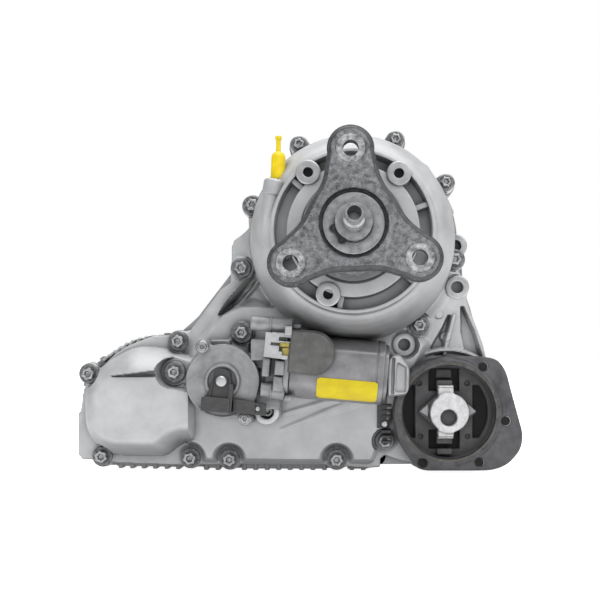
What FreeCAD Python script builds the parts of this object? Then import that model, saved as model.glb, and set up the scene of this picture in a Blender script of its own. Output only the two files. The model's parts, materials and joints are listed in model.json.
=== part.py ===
import FreeCAD, Part
import math
import os
import re
import Sketcher

# A transfer case: a clutch on the main shaft drives a train of three gears down to the
# front output, and a small motor works the clutch through a worm, a cam and two levers.
# Lengths are in millimetres. Across is +X, up is +Z, and depth runs from the gearbox face
# at the origin towards the rear, which is -Y.

doc = FreeCAD.newDocument("TransferCase")
sheet = doc.addObject("Spreadsheet::Sheet", "sizes")
derived = doc.addObject("App::VarSet", "derived")

driving = {
    # casting walls and the joint face
    "wall": 5,
    "lobeFront": 22,
    "chamberFront": 28,
    "parting": 80,
    "coverFlange": 10,
    "bellRadius": 79.5,
    "mainChamber": 72,
    "rimMargin": 5.5,
    "bossRadius": 8,
    "bossProud": 2,
    "webThick": 12,
    "castingGap": 0.3,
    # bolts of the case, each place across and up
    "boltAAcross": -196.1, "boltAUp": -99.2,
    "boltBAcross": -186.4, "boltBUp": -160.6,
    "boltCAcross": -120.8, "boltCUp": -161.9,
    "boltDAcross": -129.7, "boltDUp": -74.9,
    "boltEAcross": -91.5, "boltEUp": -162.9,
    "boltFAcross": -11.8, "boltFUp": -163.1,
    "boltGAcross": 24, "boltGUp": -149,
    "boltHAcross": 49.7, "boltHUp": -63,
    "boltIAcross": 76.1, "boltIUp": -14,
    "boltJAcross": -82.9, "boltJUp": -20.5,
    "boltKAcross": -74.4, "boltKUp": 26.1,
    "ringBoltRadius": 82,
    "ringBoltFirst": 32,
    "ringBoltSecond": 67,
    "ringBoltThird": 119,
    "boltShank": 4,
    "boltHole": 4.3,
    "boltHead": 8,
    "boltFlangeThick": 1.8,
    "boltDriveRadius": 5.6,
    "boltDriveTall": 5.2,
    "boltEngage": 15,
    "boltEndGap": 2,
    "spotGap": 0.5,
    # corners of the case between its bolts
    "rimUpperAcross": -85.5, "rimUpperUp": -3,
    "rimWaistAcross": -113, "rimWaistUp": -60,
    "rimTopAcross": -152.5, "rimTopUp": -76.2,
    "rimShoulderAcross": -177.5, "rimShoulderUp": -86.8,
    "rimSideAcross": -199, "rimSideUp": -126,
    "padAcross": -201, "padUp": -154.5,
    "rimLowAcross": 19.5, "rimLowUp": -163,
    "kneeAcross": 84, "kneeUp": -51,
    "ribPitch": 8.7,
    "ribWide": 3,
    "ribReach": 10,
    "ribShortReach": 7,
    "ribFront": 34,
    "ribEndSpace": 9,
    # lugs for the long bolts into the gearbox
    "lugRadius": 9,
    "lugHole": 4.5,
    "lugTopAcross": 76.8, "lugTopUp": -3.6,
    "lugMidAcross": 78.4, "lugMidUp": -34.5,
    "lugLowAcross": 38.6, "lugLowUp": -77.5,
    "bellRecessOuter": 62,
    "bellRecessInner": 46,
    "gearboxPitchRadius": 70,
    "gearboxBoltCount": 8,
    "gearboxBoltFirst": 22,
    "gearboxHole": 4.3,
    "gearboxHoleDepth": 16,
    # dome of the rear case
    "domeFoot": 77,
    "domeMid": 73.5,
    "domeHigh": 67,
    "domeLip": 57,
    "domeMidDepth": 113,
    "domeHighDepth": 135,
    "domeEnd": 150,
    "lipWide": 2.5,
    "channelDeep": 7,
    "neckRadius": 45.5,
    "neckRibWide": 3.5,
    "neckRibCount": 6,
    "neckRibFirst": 20,
    "neckBossRadius": 8,
    "neckBossHole": 3.4,
    "neckBossEnd": 152,
    "neckHoleDepth": 14,
    "neckBossLeftAcross": -30.7, "neckBossLeftUp": 39.4,
    "neckBossRightAcross": 31.1, "neckBossRightUp": 38.7,
    "neckBossLowAcross": -17.1, "neckBossLowUp": -43.5,
    # lobe over the front output and hump over the levers
    "lobeRadius": 42,
    "lobeEnd": 118,
    "lobeDraft": 4,
    "lobeRight": 33,
    "lobeTop": 36,
    "lobeLow": 38,
    "seatDrop": 19,
    "actuatorEngage": 10,
    "actuatorBoss": 6.5,
    "humpTopAcross": -57, "humpTopUp": -36.5,
    "humpPeakAcross": -98, "humpPeakUp": -52,
    "humpLeftAcross": -122, "humpLeftUp": -86,
    "humpLowAcross": -118, "humpLowUp": -130,
    "humpRightAcross": -54, "humpRightUp": -128,
    "humpInnerAcross": -28, "humpInnerUp": -60,
    "humpMargin": 4,
    "cradleHalf": 2.5,
    "cradleProud": 14,
    "cradleTopAcross": 31.8, "cradleTopUp": -78,
    "cradleLowAcross": 31.8, "cradleLowUp": -96,
    "strutWide": 6,
    "strutTall": 8,
    "strutTopAcross": -59, "strutTopUp": -7,
    "strutLowAcross": -101, "strutLowUp": -66,
    # gear train
    "gearModule": 2.5,
    "driveTeeth": 31,
    "idlerTeeth": 54,
    "outputTeeth": 31,
    "gearFace": 20,
    "gearStart": 31,
    "gearBacklash": 0.3,
    "gearRimThick": 9,
    "gearWebThick": 8,
    "gearTipGap": 1,
    "frontOutputAcross": -153.5, "frontOutputUp": -119.5,
    # main shaft and its bearings
    "shaftRadius": 17.5,
    "shaftStart": 3,
    "shaftEnd": 195,
    "splineBore": 12,
    "splineBoreDeep": 42,
    "splineTeeth": 24,
    "splineModule": 1,
    "splineLead": 3,
    "splineMouth": 12.8,
    "splineTooth": 0.6,
    "splineGroove": 0.5,
    "splinePlay": 0.2,
    "shaftTipRadius": 12,
    "pinRadius": 7,
    "pinTipRadius": 5.5,
    "pinBore": 4.3,
    "pinBoreDeep": 26,
    "pinEnd": 230,
    "pinWaist": 213,
    "pinTaper": 2,
    "mainRaceOuter": 36,
    "mainBearingWide": 16,
    "frontBearingStart": 10,
    "rearBearingStart": 123,
    "ballRun": 0.06,
    "raceShare": 0.65,
    "seatLand": 1,
    "ballCount": 11,
    "sealWide": 7,
    "sealGap": 0.15,
    "sealInset": 1.5,
    "journalGap": 0.05,
    "fitGap": 0.02,
    # clutch
    "sleeveThick": 3,
    "sleeveStart": 27,
    "basketRadius": 62,
    "basketWall": 3,
    "basketWeb": 3,
    "basketEnd": 76,
    "hubRadius": 40,
    "hubThick": 8,
    "hubWeb": 5.4,
    "hubEnd": 71.5,
    "plateCount": 4,
    "plateThick": 1.9,
    "plateGap": 0.35,
    "plateOverlap": 2.5,
    "pressureThick": 5,
    "pressureTravel": 1,
    # ball ramp levers
    "leverStart": 82,
    "leverThick": 3.6,
    "leverGap": 4.4,
    "leverRing": 38,
    "leverRoot": 8,
    "leverArm": 5.5,
    "leverEye": 6,
    "leverRun": 0.4,
    "rampRadius": 31,
    "rampBall": 3,
    "rampBallCount": 5,
    "rampBallFirst": 18,
    "thrustThick": 1.8,
    "rollerRadius": 5,
    "rollerPin": 2.5,
    "rollerRun": 0.35,
    # control cam, worm wheel and worm
    "controlAcross": -92, "controlUp": -103.5,
    "camLow": 12,
    "camHigh": 18,
    "camThick": 2.6,
    "camSweep": 150,
    "camFall": 15,
    "controlShaft": 5,
    "controlShaftStart": 86,
    "wormRise": 28,
    "wormTilt": 4.9,
    "wormModule": 1,
    "wheelTeeth": 23,
    "wheelFace": 5,
    "wormPitchRadius": 3.5,
    "wormCore": 2.3,
    "wormTip": 4.3,
    "wormHalf": 11,
    "wormThreadRoot": 1.1,
    "wormThreadTip": 0.6,
    "wormBacklash": 0.25,
    # actuator housing and motor
    "potRadius": 26.2,
    "potWall": 3,
    "potRise": 6,
    "coverThick": 4,
    "coverSkin": 1,
    "coverRise": 2.5,
    "coverRiseRadius": 11.5,
    "camWindow": 24.5,
    "actuatorBoltUpAcross": -80.9, "actuatorBoltUpUp": -68.9,
    "actuatorBoltSideAcross": -129.9, "actuatorBoltSideUp": -97.6,
    "actuatorBoltLowAcross": -61.9, "actuatorBoltLowUp": -125.7,
    "actuatorFoot": 9,
    "actuatorFootThick": 7,
    "screwUpAcross": -106.1, "screwUpUp": -79.2,
    "screwLowAcross": -76.2, "screwLowUp": -129.9,
    "screwLug": 5,
    "screwShank": 2,
    "screwHead": 4,
    "screwHeadTall": 3,
    "motorStart": 47,
    "motorLength": 70,
    "motorRadius": 23,
    "motorFlat": 18.6,
    "motorWall": 1.5,
    "motorFlangeThick": 5,
    "motorFlangeHalf": 24,
    "tunnelRadius": 6,
    "tunnelBore": 4.8,
    "magnetSplit": 6,
    "rotorRadius": 14,
    "magnetGap": 0.8,
    "rotorGap": 6,
    "rotorTailGap": 8,
    "labelAlong": 66,
    "labelAside": 6,
    "labelLong": 43,
    "labelWide": 7,
    "labelThick": 0.3,
    "plugLong": 30,
    "plugWide": 31,
    "plugThick": 4,
    "plugLift": 10,
    "contactAlong": 27,
    "contactLong": 15,
    "contactWide": 18,
    "contactThick": 3,
    # position sensor
    "sensorPin": 4,
    "sensorTongueWide": 15,
    "sensorTongueDrop": 12,
    "sensorThick": 4,
    "sensorBoxWide": 19,
    "sensorBoxLeft": 12.4,
    "sensorBoxTall": 9.5,
    "sensorBoxDeep": 10,
    "sensorArmFrom": 5.7,
    "sensorArmLong": 23,
    "sensorArmDrop": 1,
    "sensorArmTall": 8.5,
    "sensorArmThick": 5,
    # breather
    "ventAcross": -52,
    "ventBase": 36.5,
    "ventDepth": 136,
    "ventPipe": 3,
    "ventBoss": 6.5,
    "ventPipeStand": 12,
    "ventNotch": 1.5,
    "ventCapRadius": 5.2,
    "ventCapTall": 19,
    "ventStem": 1.6,
    "ventStemTall": 12,
    "ventFlare": 2.2,
    "ventFlareTall": 3,
    # output flange
    "flangePitchRadius": 48,
    "flangeHole": 5.1,
    "flangeArmEnd": 15,
    "flangeArmRoot": 25,
    "flangeFace": 188,
    "flangeThick": 11,
    "flangeTurn": 92.4,
    "flangeHub": 35,
    "flangeHubStart": 155,
    "flangeSleeve": 27,
    "flangeRecess": 23,
    "flangeRecessDeep": 6,
    "washerThick": 3,
    "circlipThick": 2,
    "circlipRadius": 14,
    "circlipGroove": 1,
    # rubber mount
    "mountAcross": 70.2, "mountUp": -127,
    "mountRing": 34.6,
    "mountSleeve": 2.4,
    "mountShell": 6,
    "mountStart": 93,
    "mountThick": 14,
    "mountWindow": 16,
    "coreRadius": 14.9,
    "coreBore": 6.1,
    "coreDrop": 4,
    "coreWing": 21,
    "coreWingTall": 12,
    "coreTabHalf": 6.5,
    "coreTabReach": 20,
    "coreInset": 1,
    "rubberLining": 2.5,
    "sideVoidStart": 21.5,
    "sideVoidHalf": 20,
    "endVoidHalf": 11,
    "endVoidStart": 16,
    "damperAcross": 18.2, "damperUp": -139,
    "damperWide": 7, "damperTall": 24, "damperDeep": 10,
    "mountCornerRadius": 11.5,
    "mountBolt": 3.4,
    "mountBoltEnd": 3,
    "mountCornerTopAcross": 99, "mountCornerTopUp": -98,
    "mountCornerSideAcross": 113, "mountCornerSideUp": -146,
    "mountCornerLowAcross": 101, "mountCornerLowUp": -158,
    "mountCornerLeftAcross": 52, "mountCornerLeftUp": -158,
    "mountHoleTopAcross": 95.5, "mountHoleTopUp": -93.6,
    "mountHoleSideAcross": 112.1, "mountHoleSideUp": -133.5,
    "mountHoleLowAcross": 92.8, "mountHoleLowUp": -163.8,
    "mountHoleLeftAcross": 51.2, "mountHoleLeftUp": -164.1,
    # front output and idler
    "outputShaft": 15,
    "outputStart": 4,
    "outputSplineBore": 11,
    "outputSplineMouth": 11.8,
    "outputSplineDeep": 34,
    "outputSplineTeeth": 22,
    "outputRaceOuter": 29,
    "outputBearingWide": 13,
    "outputTailRace": 18,
    "outputTailShaft": 9,
    "snoutRadius": 37,
    "idlerShaft": 12.5,
    "idlerRaceOuter": 24,
    "idlerBearingWide": 11,
    "idlerBoss": 30,
    "idlerBossFront": 12,
    "idlerLand": 1.6,
    "smallBallCount": 9,
    # plugs and dowels
    "plugRadius": 8,
    "plugHead": 11,
    "plugHeadTall": 6,
    "fillAcross": -110, "fillUp": -75,
    "drainAcross": -112, "drainUp": -148,
    "dowelRadius": 3,
    "dowelLong": 14,
    "dowelLeftAcross": -174, "dowelLeftUp": -161.4,
    "dowelRightAcross": 62, "dowelRightUp": -47,
}

for row, (alias, number) in enumerate(driving.items(), 1):
    sheet.set(f"A{row}", alias)
    sheet.set(f"B{row}", str(number))
    sheet.setAlias(f"B{row}", alias)
doc.recompute()

derivedNames = set()


def formula(text):
    """The text with each size's name turned into its place in the document."""
    def full(found):
        word = found[0]
        if word in driving:
            return "sizes." + word
        return "derived." + word if word in derivedNames else word
    return re.sub(r"[A-Za-z]\w*", full, str(text))


def value(text):
    """What a formula gives with the sizes as they are now."""
    result = sheet.evalExpression(formula(text))
    return float(getattr(result, "Value", result))


def derive(name, text):
    """A size worked out from the driving ones, kept in the document under its own name."""
    derived.addProperty("App::PropertyFloat", name)
    derived.setExpression(name, formula(text))
    derivedNames.add(name)
    return name


def bind(piece, **texts):
    """Tie properties of a piece to formulas."""
    for name, text in texts.items():
        piece.setExpression(name, formula(text))


def place(piece, across="0", depth="0", up="0"):
    """Tie a piece's place to formulas."""
    piece.setExpression(".Placement.Base.x", formula(across))
    piece.setExpression(".Placement.Base.y", formula(f"-({depth})"))
    piece.setExpression(".Placement.Base.z", formula(up))
    return piece


def spot(name):
    """The across and up formulas of a named place."""
    return name + "Across", name + "Up"


rearward = FreeCAD.Rotation(FreeCAD.Vector(1, 0, 0), 90)


def rod(radius, start, length, across="0", up="0", label="Rod"):
    """A cylinder that runs rearward from a depth."""
    piece = doc.addObject("Part::Cylinder", label)
    bind(piece, Radius=radius, Height=length)
    piece.Placement = FreeCAD.Placement(FreeCAD.Vector(), rearward)
    return place(piece, across, start, up)


def cone(radius, endRadius, start, length, across="0", up="0"):
    """A cone that runs rearward from a depth."""
    piece = doc.addObject("Part::Cone", "Cone")
    bind(piece, Radius1=radius, Radius2=endRadius, Height=length)
    piece.Placement = FreeCAD.Placement(FreeCAD.Vector(), rearward)
    return place(piece, across, start, up)


def box(across, up, start, wide, tall, deep):
    """A block with its low left front corner at across, up and start."""
    piece = doc.addObject("Part::Box", "Block")
    bind(piece, Length=wide, Width=deep, Height=tall)
    return place(piece, across, f"({start}) + ({deep})", up)


def joined(*pieces, label="Joined"):
    """Pieces made one solid."""
    piece = doc.addObject("Part::MultiFuse", label)
    piece.Shapes = list(pieces)
    piece.Refine = False
    return piece


def cut(base, *tools, label="Cut"):
    """A piece less its tools."""
    piece = doc.addObject("Part::Cut", label)
    piece.Base = base
    piece.Tool = tools[0] if len(tools) == 1 else joined(*tools)
    piece.Refine = False
    return piece


def cutEach(base, *tools):
    """A piece less its tools, taken away one after another."""
    for tool in tools:
        base = cut(base, tool)
    return base


def group(*pieces, label="Group"):
    """Alike pieces kept together as separate solids."""
    piece = doc.addObject("Part::Compound", label)
    piece.Links = list(pieces)
    return piece


def ring(outer, inner, start, length, across="0", up="0", label="Ring"):
    """A plain ring that runs rearward from a depth."""
    return cut(rod(outer, start, length, across, up), rod(inner, start, length, across, up), label=label)


def closedLoop(sketch, corners):
    """Straight lines through the corners of a sketch, each corner tied to its two formulas."""
    points = [FreeCAD.Vector(value(first), value(second), 0) for first, second in corners]
    count = len(points)
    for index in range(count):
        sketch.addGeometry(Part.LineSegment(points[index], points[(index + 1) % count]), False)
    for index in range(count):
        sketch.addConstraint(Sketcher.Constraint("Coincident", index, 2, (index + 1) % count, 1))
    for index, (first, second) in enumerate(corners):
        point = points[index]
        for kind, text, now in (("DistanceX", first, point.x), ("DistanceY", second, point.y)):
            number = sketch.addConstraint(Sketcher.Constraint(kind, -1, 1, index, 1, now))
            sketch.setExpression(f"Constraints[{number}]", formula(text))


def outline(corners, start):
    """A flat closed outline at a depth, facing rearward."""
    sketch = doc.addObject("Sketcher::SketchObject", "Outline")
    sketch.Placement = FreeCAD.Placement(FreeCAD.Vector(), rearward)
    place(sketch, depth=start)
    closedLoop(sketch, corners)
    return sketch


def raised(flat, length):
    """An outline given a thickness towards the rear."""
    piece = doc.addObject("Part::Extrusion", "Raised")
    piece.Base = flat
    piece.DirMode = "Custom"
    piece.Dir = FreeCAD.Vector(0, -1, 0)
    piece.Solid = True
    bind(piece, LengthFwd=length)
    return piece


def slab(corners, start, length, margin=None):
    """A plate through its corners, grown by a margin with round corners where one is given."""
    flat = outline(corners, start)
    if margin is not None:
        grown = doc.addObject("Part::Offset2D", "Grown")
        grown.Source = flat
        grown.Join = 0
        bind(grown, Value=margin)
        flat = grown
    return raised(flat, length)


def strip(fromAcross, fromUp, toAcross, toUp, fromHalf, toHalf, start, length):
    """A straight bar from one place to another, with its half width at each end."""
    long = f"sqrt((({toAcross}) - ({fromAcross}))^2 + (({toUp}) - ({fromUp}))^2)"
    sideAcross = f"((({fromUp}) - ({toUp})) / {long})"
    sideUp = f"((({toAcross}) - ({fromAcross})) / {long})"
    corners = [
        (f"({fromAcross}) - ({fromHalf}) * {sideAcross}", f"({fromUp}) - ({fromHalf}) * {sideUp}"),
        (f"({toAcross}) - ({toHalf}) * {sideAcross}", f"({toUp}) - ({toHalf}) * {sideUp}"),
        (f"({toAcross}) + ({toHalf}) * {sideAcross}", f"({toUp}) + ({toHalf}) * {sideUp}"),
        (f"({fromAcross}) + ({fromHalf}) * {sideAcross}", f"({fromUp}) + ({fromHalf}) * {sideUp}"),
    ]
    return slab(corners, start, length)


def turned(label, profile, across="0", up="0"):
    """A body turned about the rearward line through a place, from radius and depth corners."""
    body = doc.addObject("PartDesign::Body", label)
    plane = next(item for item in body.Origin.OriginFeatures if item.Role == "XY_Plane")
    sketch = body.newObject("Sketcher::SketchObject", label + "Profile")
    sketch.AttachmentSupport = (plane, "")
    sketch.MapMode = "FlatFace"
    closedLoop(sketch, [(radius, f"-({depth})") for radius, depth in profile])
    turn = body.newObject("PartDesign::Revolution", label + "Turn")
    turn.Profile = sketch
    turn.ReferenceAxis = (sketch, ["V_Axis"])
    turn.Angle = 360
    return place(body, across=across, up=up)


def computed(label, shape):
    """A piece whose outline is worked out point by point."""
    piece = doc.addObject("Part::Feature", label)
    piece.Shape = shape
    return piece


def evenTurns(count, first):
    """Even angles round a circle, as formulas."""
    copies = int(value(count))
    return [f"({first} + {index} * 360 / {copies})" for index in range(copies)]


def circled(count, radius, first="0"):
    """Places round a circle, as across and up formulas."""
    return [(f"({radius}) * cos({turn})", f"({radius}) * sin({turn})") for turn in evenTurns(count, first)]


def shifted(places, across, up):
    """Places moved by another place."""
    return [(f"({first}) + ({across})", f"({second}) + ({up})") for first, second in places]


# Places worked out from the driving sizes.
centres = "((driveTeeth + idlerTeeth) * gearModule / 2)"
reach = "sqrt(frontOutputAcross^2 + frontOutputUp^2)"
bow = f"sqrt({centres}^2 - ({reach} / 2)^2)"
derive("idlerAcross", f"frontOutputAcross / 2 - {bow} * frontOutputUp / {reach}")
derive("idlerUp", f"frontOutputUp / 2 + {bow} * frontOutputAcross / {reach}")
derive("coverFace", "parting + coverFlange")
derive("bossFace", "parting + coverFlange + bossProud")
derive("wormAcross", "controlAcross + (wormModule * wheelTeeth / 2 + wormPitchRadius) * sin(wormTilt)")
derive("wormUp", "controlUp + (wormModule * wheelTeeth / 2 + wormPitchRadius) * cos(wormTilt)")
doc.recompute()

caseBolts = ["bolt" + letter for letter in "ABCDEFGHIJK"]
ringBolts = ["ringBoltFirst", "ringBoltSecond", "ringBoltThird"]
ringPlaces = [(f"ringBoltRadius * cos({turn})", f"ringBoltRadius * sin({turn})") for turn in ringBolts]
boltPlaces = [spot(name) for name in caseBolts] + ringPlaces
lugPlaces = [spot(name) for name in ("lugTop", "lugMid", "lugLow")]
mountHoles = [spot("mountHole" + name) for name in ("Top", "Side", "Low", "Left")]
neckBosses = [spot(name) for name in ("neckBossLeft", "neckBossRight", "neckBossLow")]
actuatorBolts = [spot(name) for name in ("actuatorBoltUp", "actuatorBoltSide", "actuatorBoltLow")]
coverScrews = [spot(name) for name in ("screwUp", "screwLow")]
dowels = [spot(name) for name in ("dowelLeft", "dowelRight")]

bodyCorners = [spot(name) for name in
               ("rimUpper", "boltJ", "rimWaist", "boltD", "rimTop", "rimShoulder", "boltA", "rimSide",
                "boltB", "boltC", "boltE", "boltF", "rimLow", "boltG", "lugLow", "boltH")]
webCorners = [spot(name) for name in
              ("boltG", "mountHoleLeft", "mountHoleLow", "mountHoleSide", "mountHoleTop", "knee",
               "lugMid", "lugTop", "boltH", "lugLow")]
humpCorners = [spot(name) for name in
               ("humpTop", "humpPeak", "humpLeft", "humpLow", "humpRight", "humpInner")]

derive("perpAcross", "controlUp / sqrt(controlAcross^2 + controlUp^2)")
derive("perpUp", "-controlAcross / sqrt(controlAcross^2 + controlUp^2)")
derive("wormDepth", "parting + coverFlange + wormRise")
derive("potEnd", "wormDepth + potRise")
derive("actuatorSeat", "wormDepth - seatDrop")
derive("gearEnd", "gearStart + gearFace")
derive("gearBore", "shaftRadius + sleeveThick + journalGap")
derive("drumInner", "basketRadius - basketWall")
derive("packStart", "gearStart + gearFace + basketWeb + plateGap")
derive("pressureStart", "gearStart + gearFace + basketWeb + plateGap"
       " + 2 * plateCount * (plateThick + plateGap) + pressureTravel")
derive("leverRearStart", "leverStart + leverThick + leverGap")
derive("leverEnd", "leverStart + 2 * leverThick + leverGap")
derive("camStartDepth", "leverStart + leverThick + (leverGap - camThick) / 2")
derive("rollerOffset", "camLow + rollerRadius + rollerRun")
derive("neckFront", "leverStart + 2 * leverThick + leverGap + thrustThick + 2 * castingGap")
derive("humpInside", "leverStart + 2 * leverThick + leverGap + rollerRun + seatLand")
derive("idlerTip", "gearModule * (idlerTeeth / 2 + 1)")
derive("outputTip", "gearModule * (outputTeeth / 2 + 1)")
derive("idlerFrontBearing", "chamberFront - idlerBearingWide - seatLand")
derive("idlerRearBearing", "leverStart + leverThick - idlerBearingWide - idlerLand")
derive("outputFrontBearing", "chamberFront - outputBearingWide - 2 * seatLand")
derive("outputTailBearing", "lobeEnd - wall - outputBearingWide - seatLand")
derive("recessFloor", "flangeFace - flangeRecessDeep")
doc.recompute()


def upright(radius, across, depth, up, length, label="Upright"):
    """A cylinder that stands upwards from a place."""
    piece = doc.addObject("Part::Cylinder", label)
    bind(piece, Radius=radius, Height=length)
    return place(piece, across, depth, up)


motorTurn = FreeCAD.Rotation(FreeCAD.Vector(0, 1, 0), 90 + value("wormTilt"))


def onMotorLine(piece, along, aside="0", depth="wormDepth"):
    """Place a piece that lies along the motor's line, at a distance from the wheel's foot."""
    piece.Placement = FreeCAD.Placement(FreeCAD.Vector(), motorTurn)
    across = f"wormAcross + ({along}) * cos(wormTilt) - ({aside}) * sin(wormTilt)"
    up = f"wormUp - ({along}) * sin(wormTilt) - ({aside}) * cos(wormTilt)"
    return place(piece, across, depth, up)


def motorRod(radius, along, length, label="MotorRod"):
    """A cylinder on the motor's line."""
    piece = doc.addObject("Part::Cylinder", label)
    bind(piece, Radius=radius, Height=length)
    return onMotorLine(piece, along)


def motorBlock(along, aside, depth, length, tall, deep):
    """A block lined up with the motor: aside runs downwards from the line."""
    piece = doc.addObject("Part::Box", "MotorBlock")
    bind(piece, Length=tall, Width=deep, Height=length)
    return onMotorLine(piece, along, aside, f"({depth}) + ({deep})")


def flatted(radius, flat, along, length):
    """A cylinder on the motor's line with a flat towards the front and the rear."""
    piece = doc.addObject("Part::Common", "Flatted")
    piece.Base = motorRod(radius, along, length)
    piece.Tool = motorBlock(along, f"-({radius})", f"wormDepth - ({flat})", length,
                            f"2 * ({radius})", f"2 * ({flat})")
    return piece


def rounded(base, depth, radius):
    """A piece with the edges of its face at a depth rounded."""
    base.Refine = True
    doc.recompute()
    level = -value(depth)
    size = value(radius)
    picks = []
    for number, edge in enumerate(base.Shape.Edges, 1):
        extent = edge.BoundBox
        if abs(extent.YMin - level) < 1e-4 and abs(extent.YMax - level) < 1e-4:
            picks.append((number, size, size))
    piece = doc.addObject("Part::Fillet", "Rounded")
    piece.Base = base
    piece.Edges = picks
    return piece


def toothedOutline(teeth, module, firstTooth, backlash, addendum=1.0, dedendum=1.25):
    """Corner points of an involute gear, as (angle, radius) pairs in radians and millimetres."""
    pitchRadius = teeth * module / 2
    pressure = math.radians(20)
    baseRadius = pitchRadius * math.cos(pressure)
    rootRadius = pitchRadius - dedendum * module
    tipRadius = pitchRadius + addendum * module
    startRadius = max(baseRadius, rootRadius)
    halfTooth = math.pi / (2 * teeth) - backlash / (2 * pitchRadius)
    halfTooth += math.tan(pressure) - pressure
    steps = 4
    flank = []
    for step in range(steps + 1):
        radius = startRadius + (tipRadius - startRadius) * step / steps
        roll = math.acos(min(1, baseRadius / radius))
        flank.append((halfTooth - math.tan(roll) + roll, radius))
    if rootRadius < startRadius:
        flank.insert(0, (flank[0][0], rootRadius))
    points = []
    for tooth in range(teeth):
        middle = firstTooth + 2 * math.pi * tooth / teeth
        points += [(middle - turn, radius) for turn, radius in flank]
        points += [(middle + turn, radius) for turn, radius in reversed(flank)]
    return points


def prism(points, across, up, start, length):
    """A solid through (angle, radius) points about a place, from a depth rearward."""
    corners = [FreeCAD.Vector(across + radius * math.cos(turn), -start, up + radius * math.sin(turn))
               for turn, radius in points]
    wire = Part.makePolygon(corners + corners[:1])
    return Part.Face(wire).extrude(FreeCAD.Vector(0, -length, 0))


def gearBlank(teeth, firstTooth, across, up, module="gearModule", start="gearStart", face="gearFace",
              backlash="gearBacklash", label="Teeth"):
    """The toothed part of a gear, solid to its centre."""
    points = toothedOutline(int(round(value(teeth))), value(module), firstTooth, value(backlash))
    return computed(label, prism(points, value(across), value(up), value(start), value(face)))


def bearing(bore, outer, start, wide, count, across="0", up="0"):
    """Outer race, inner race and balls of a bearing."""
    circle = f"(({bore} + {outer}) / 2)"
    ball = f"(({outer} - {bore}) / 4)"
    middle = f"({start} + {wide} / 2)"
    track = doc.addObject("Part::Torus", "Track")
    bind(track, Radius1=circle, Radius2=f"{ball} + ballRun")
    track.Placement = FreeCAD.Placement(FreeCAD.Vector(), rearward)
    place(track, across, middle, up)
    outerRace = cut(rod(outer, start, wide, across, up),
                    rod(f"{circle} + raceShare * {ball}", start, wide, across, up), track)
    innerRace = cut(rod(f"{circle} - raceShare * {ball}", start, wide, across, up),
                    rod(f"{bore} + fitGap", start, wide, across, up), track)
    balls = []
    for ballAcross, ballUp in shifted(circled(count, circle), across, up):
        piece = doc.addObject("Part::Sphere", "Ball")
        bind(piece, Radius=ball)
        balls.append(place(piece, ballAcross, middle, ballUp))
    return outerRace, innerRace, balls


def flangedBolt(shank, head, seat, engage, across, up, away=1):
    """A bolt with a round flange under a six-lobed drive; away is 1 for a head to the rear."""
    length = f"({engage})"
    if away > 0:
        parts = [rod(shank, f"{seat} - {length}", f"{length} + boltFlangeThick", across, up),
                 rod(head, seat, "boltFlangeThick", across, up),
                 rod("boltDriveRadius", f"{seat} + boltFlangeThick", "boltDriveTall", across, up)]
    else:
        parts = [rod(shank, f"{seat} - boltFlangeThick", f"{length} + boltFlangeThick", across, up),
                 rod(head, f"{seat} - boltFlangeThick", "boltFlangeThick", across, up),
                 rod("boltDriveRadius", f"{seat} - boltFlangeThick - boltDriveTall", "boltDriveTall",
                     across, up)]
    return joined(*parts)


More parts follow.
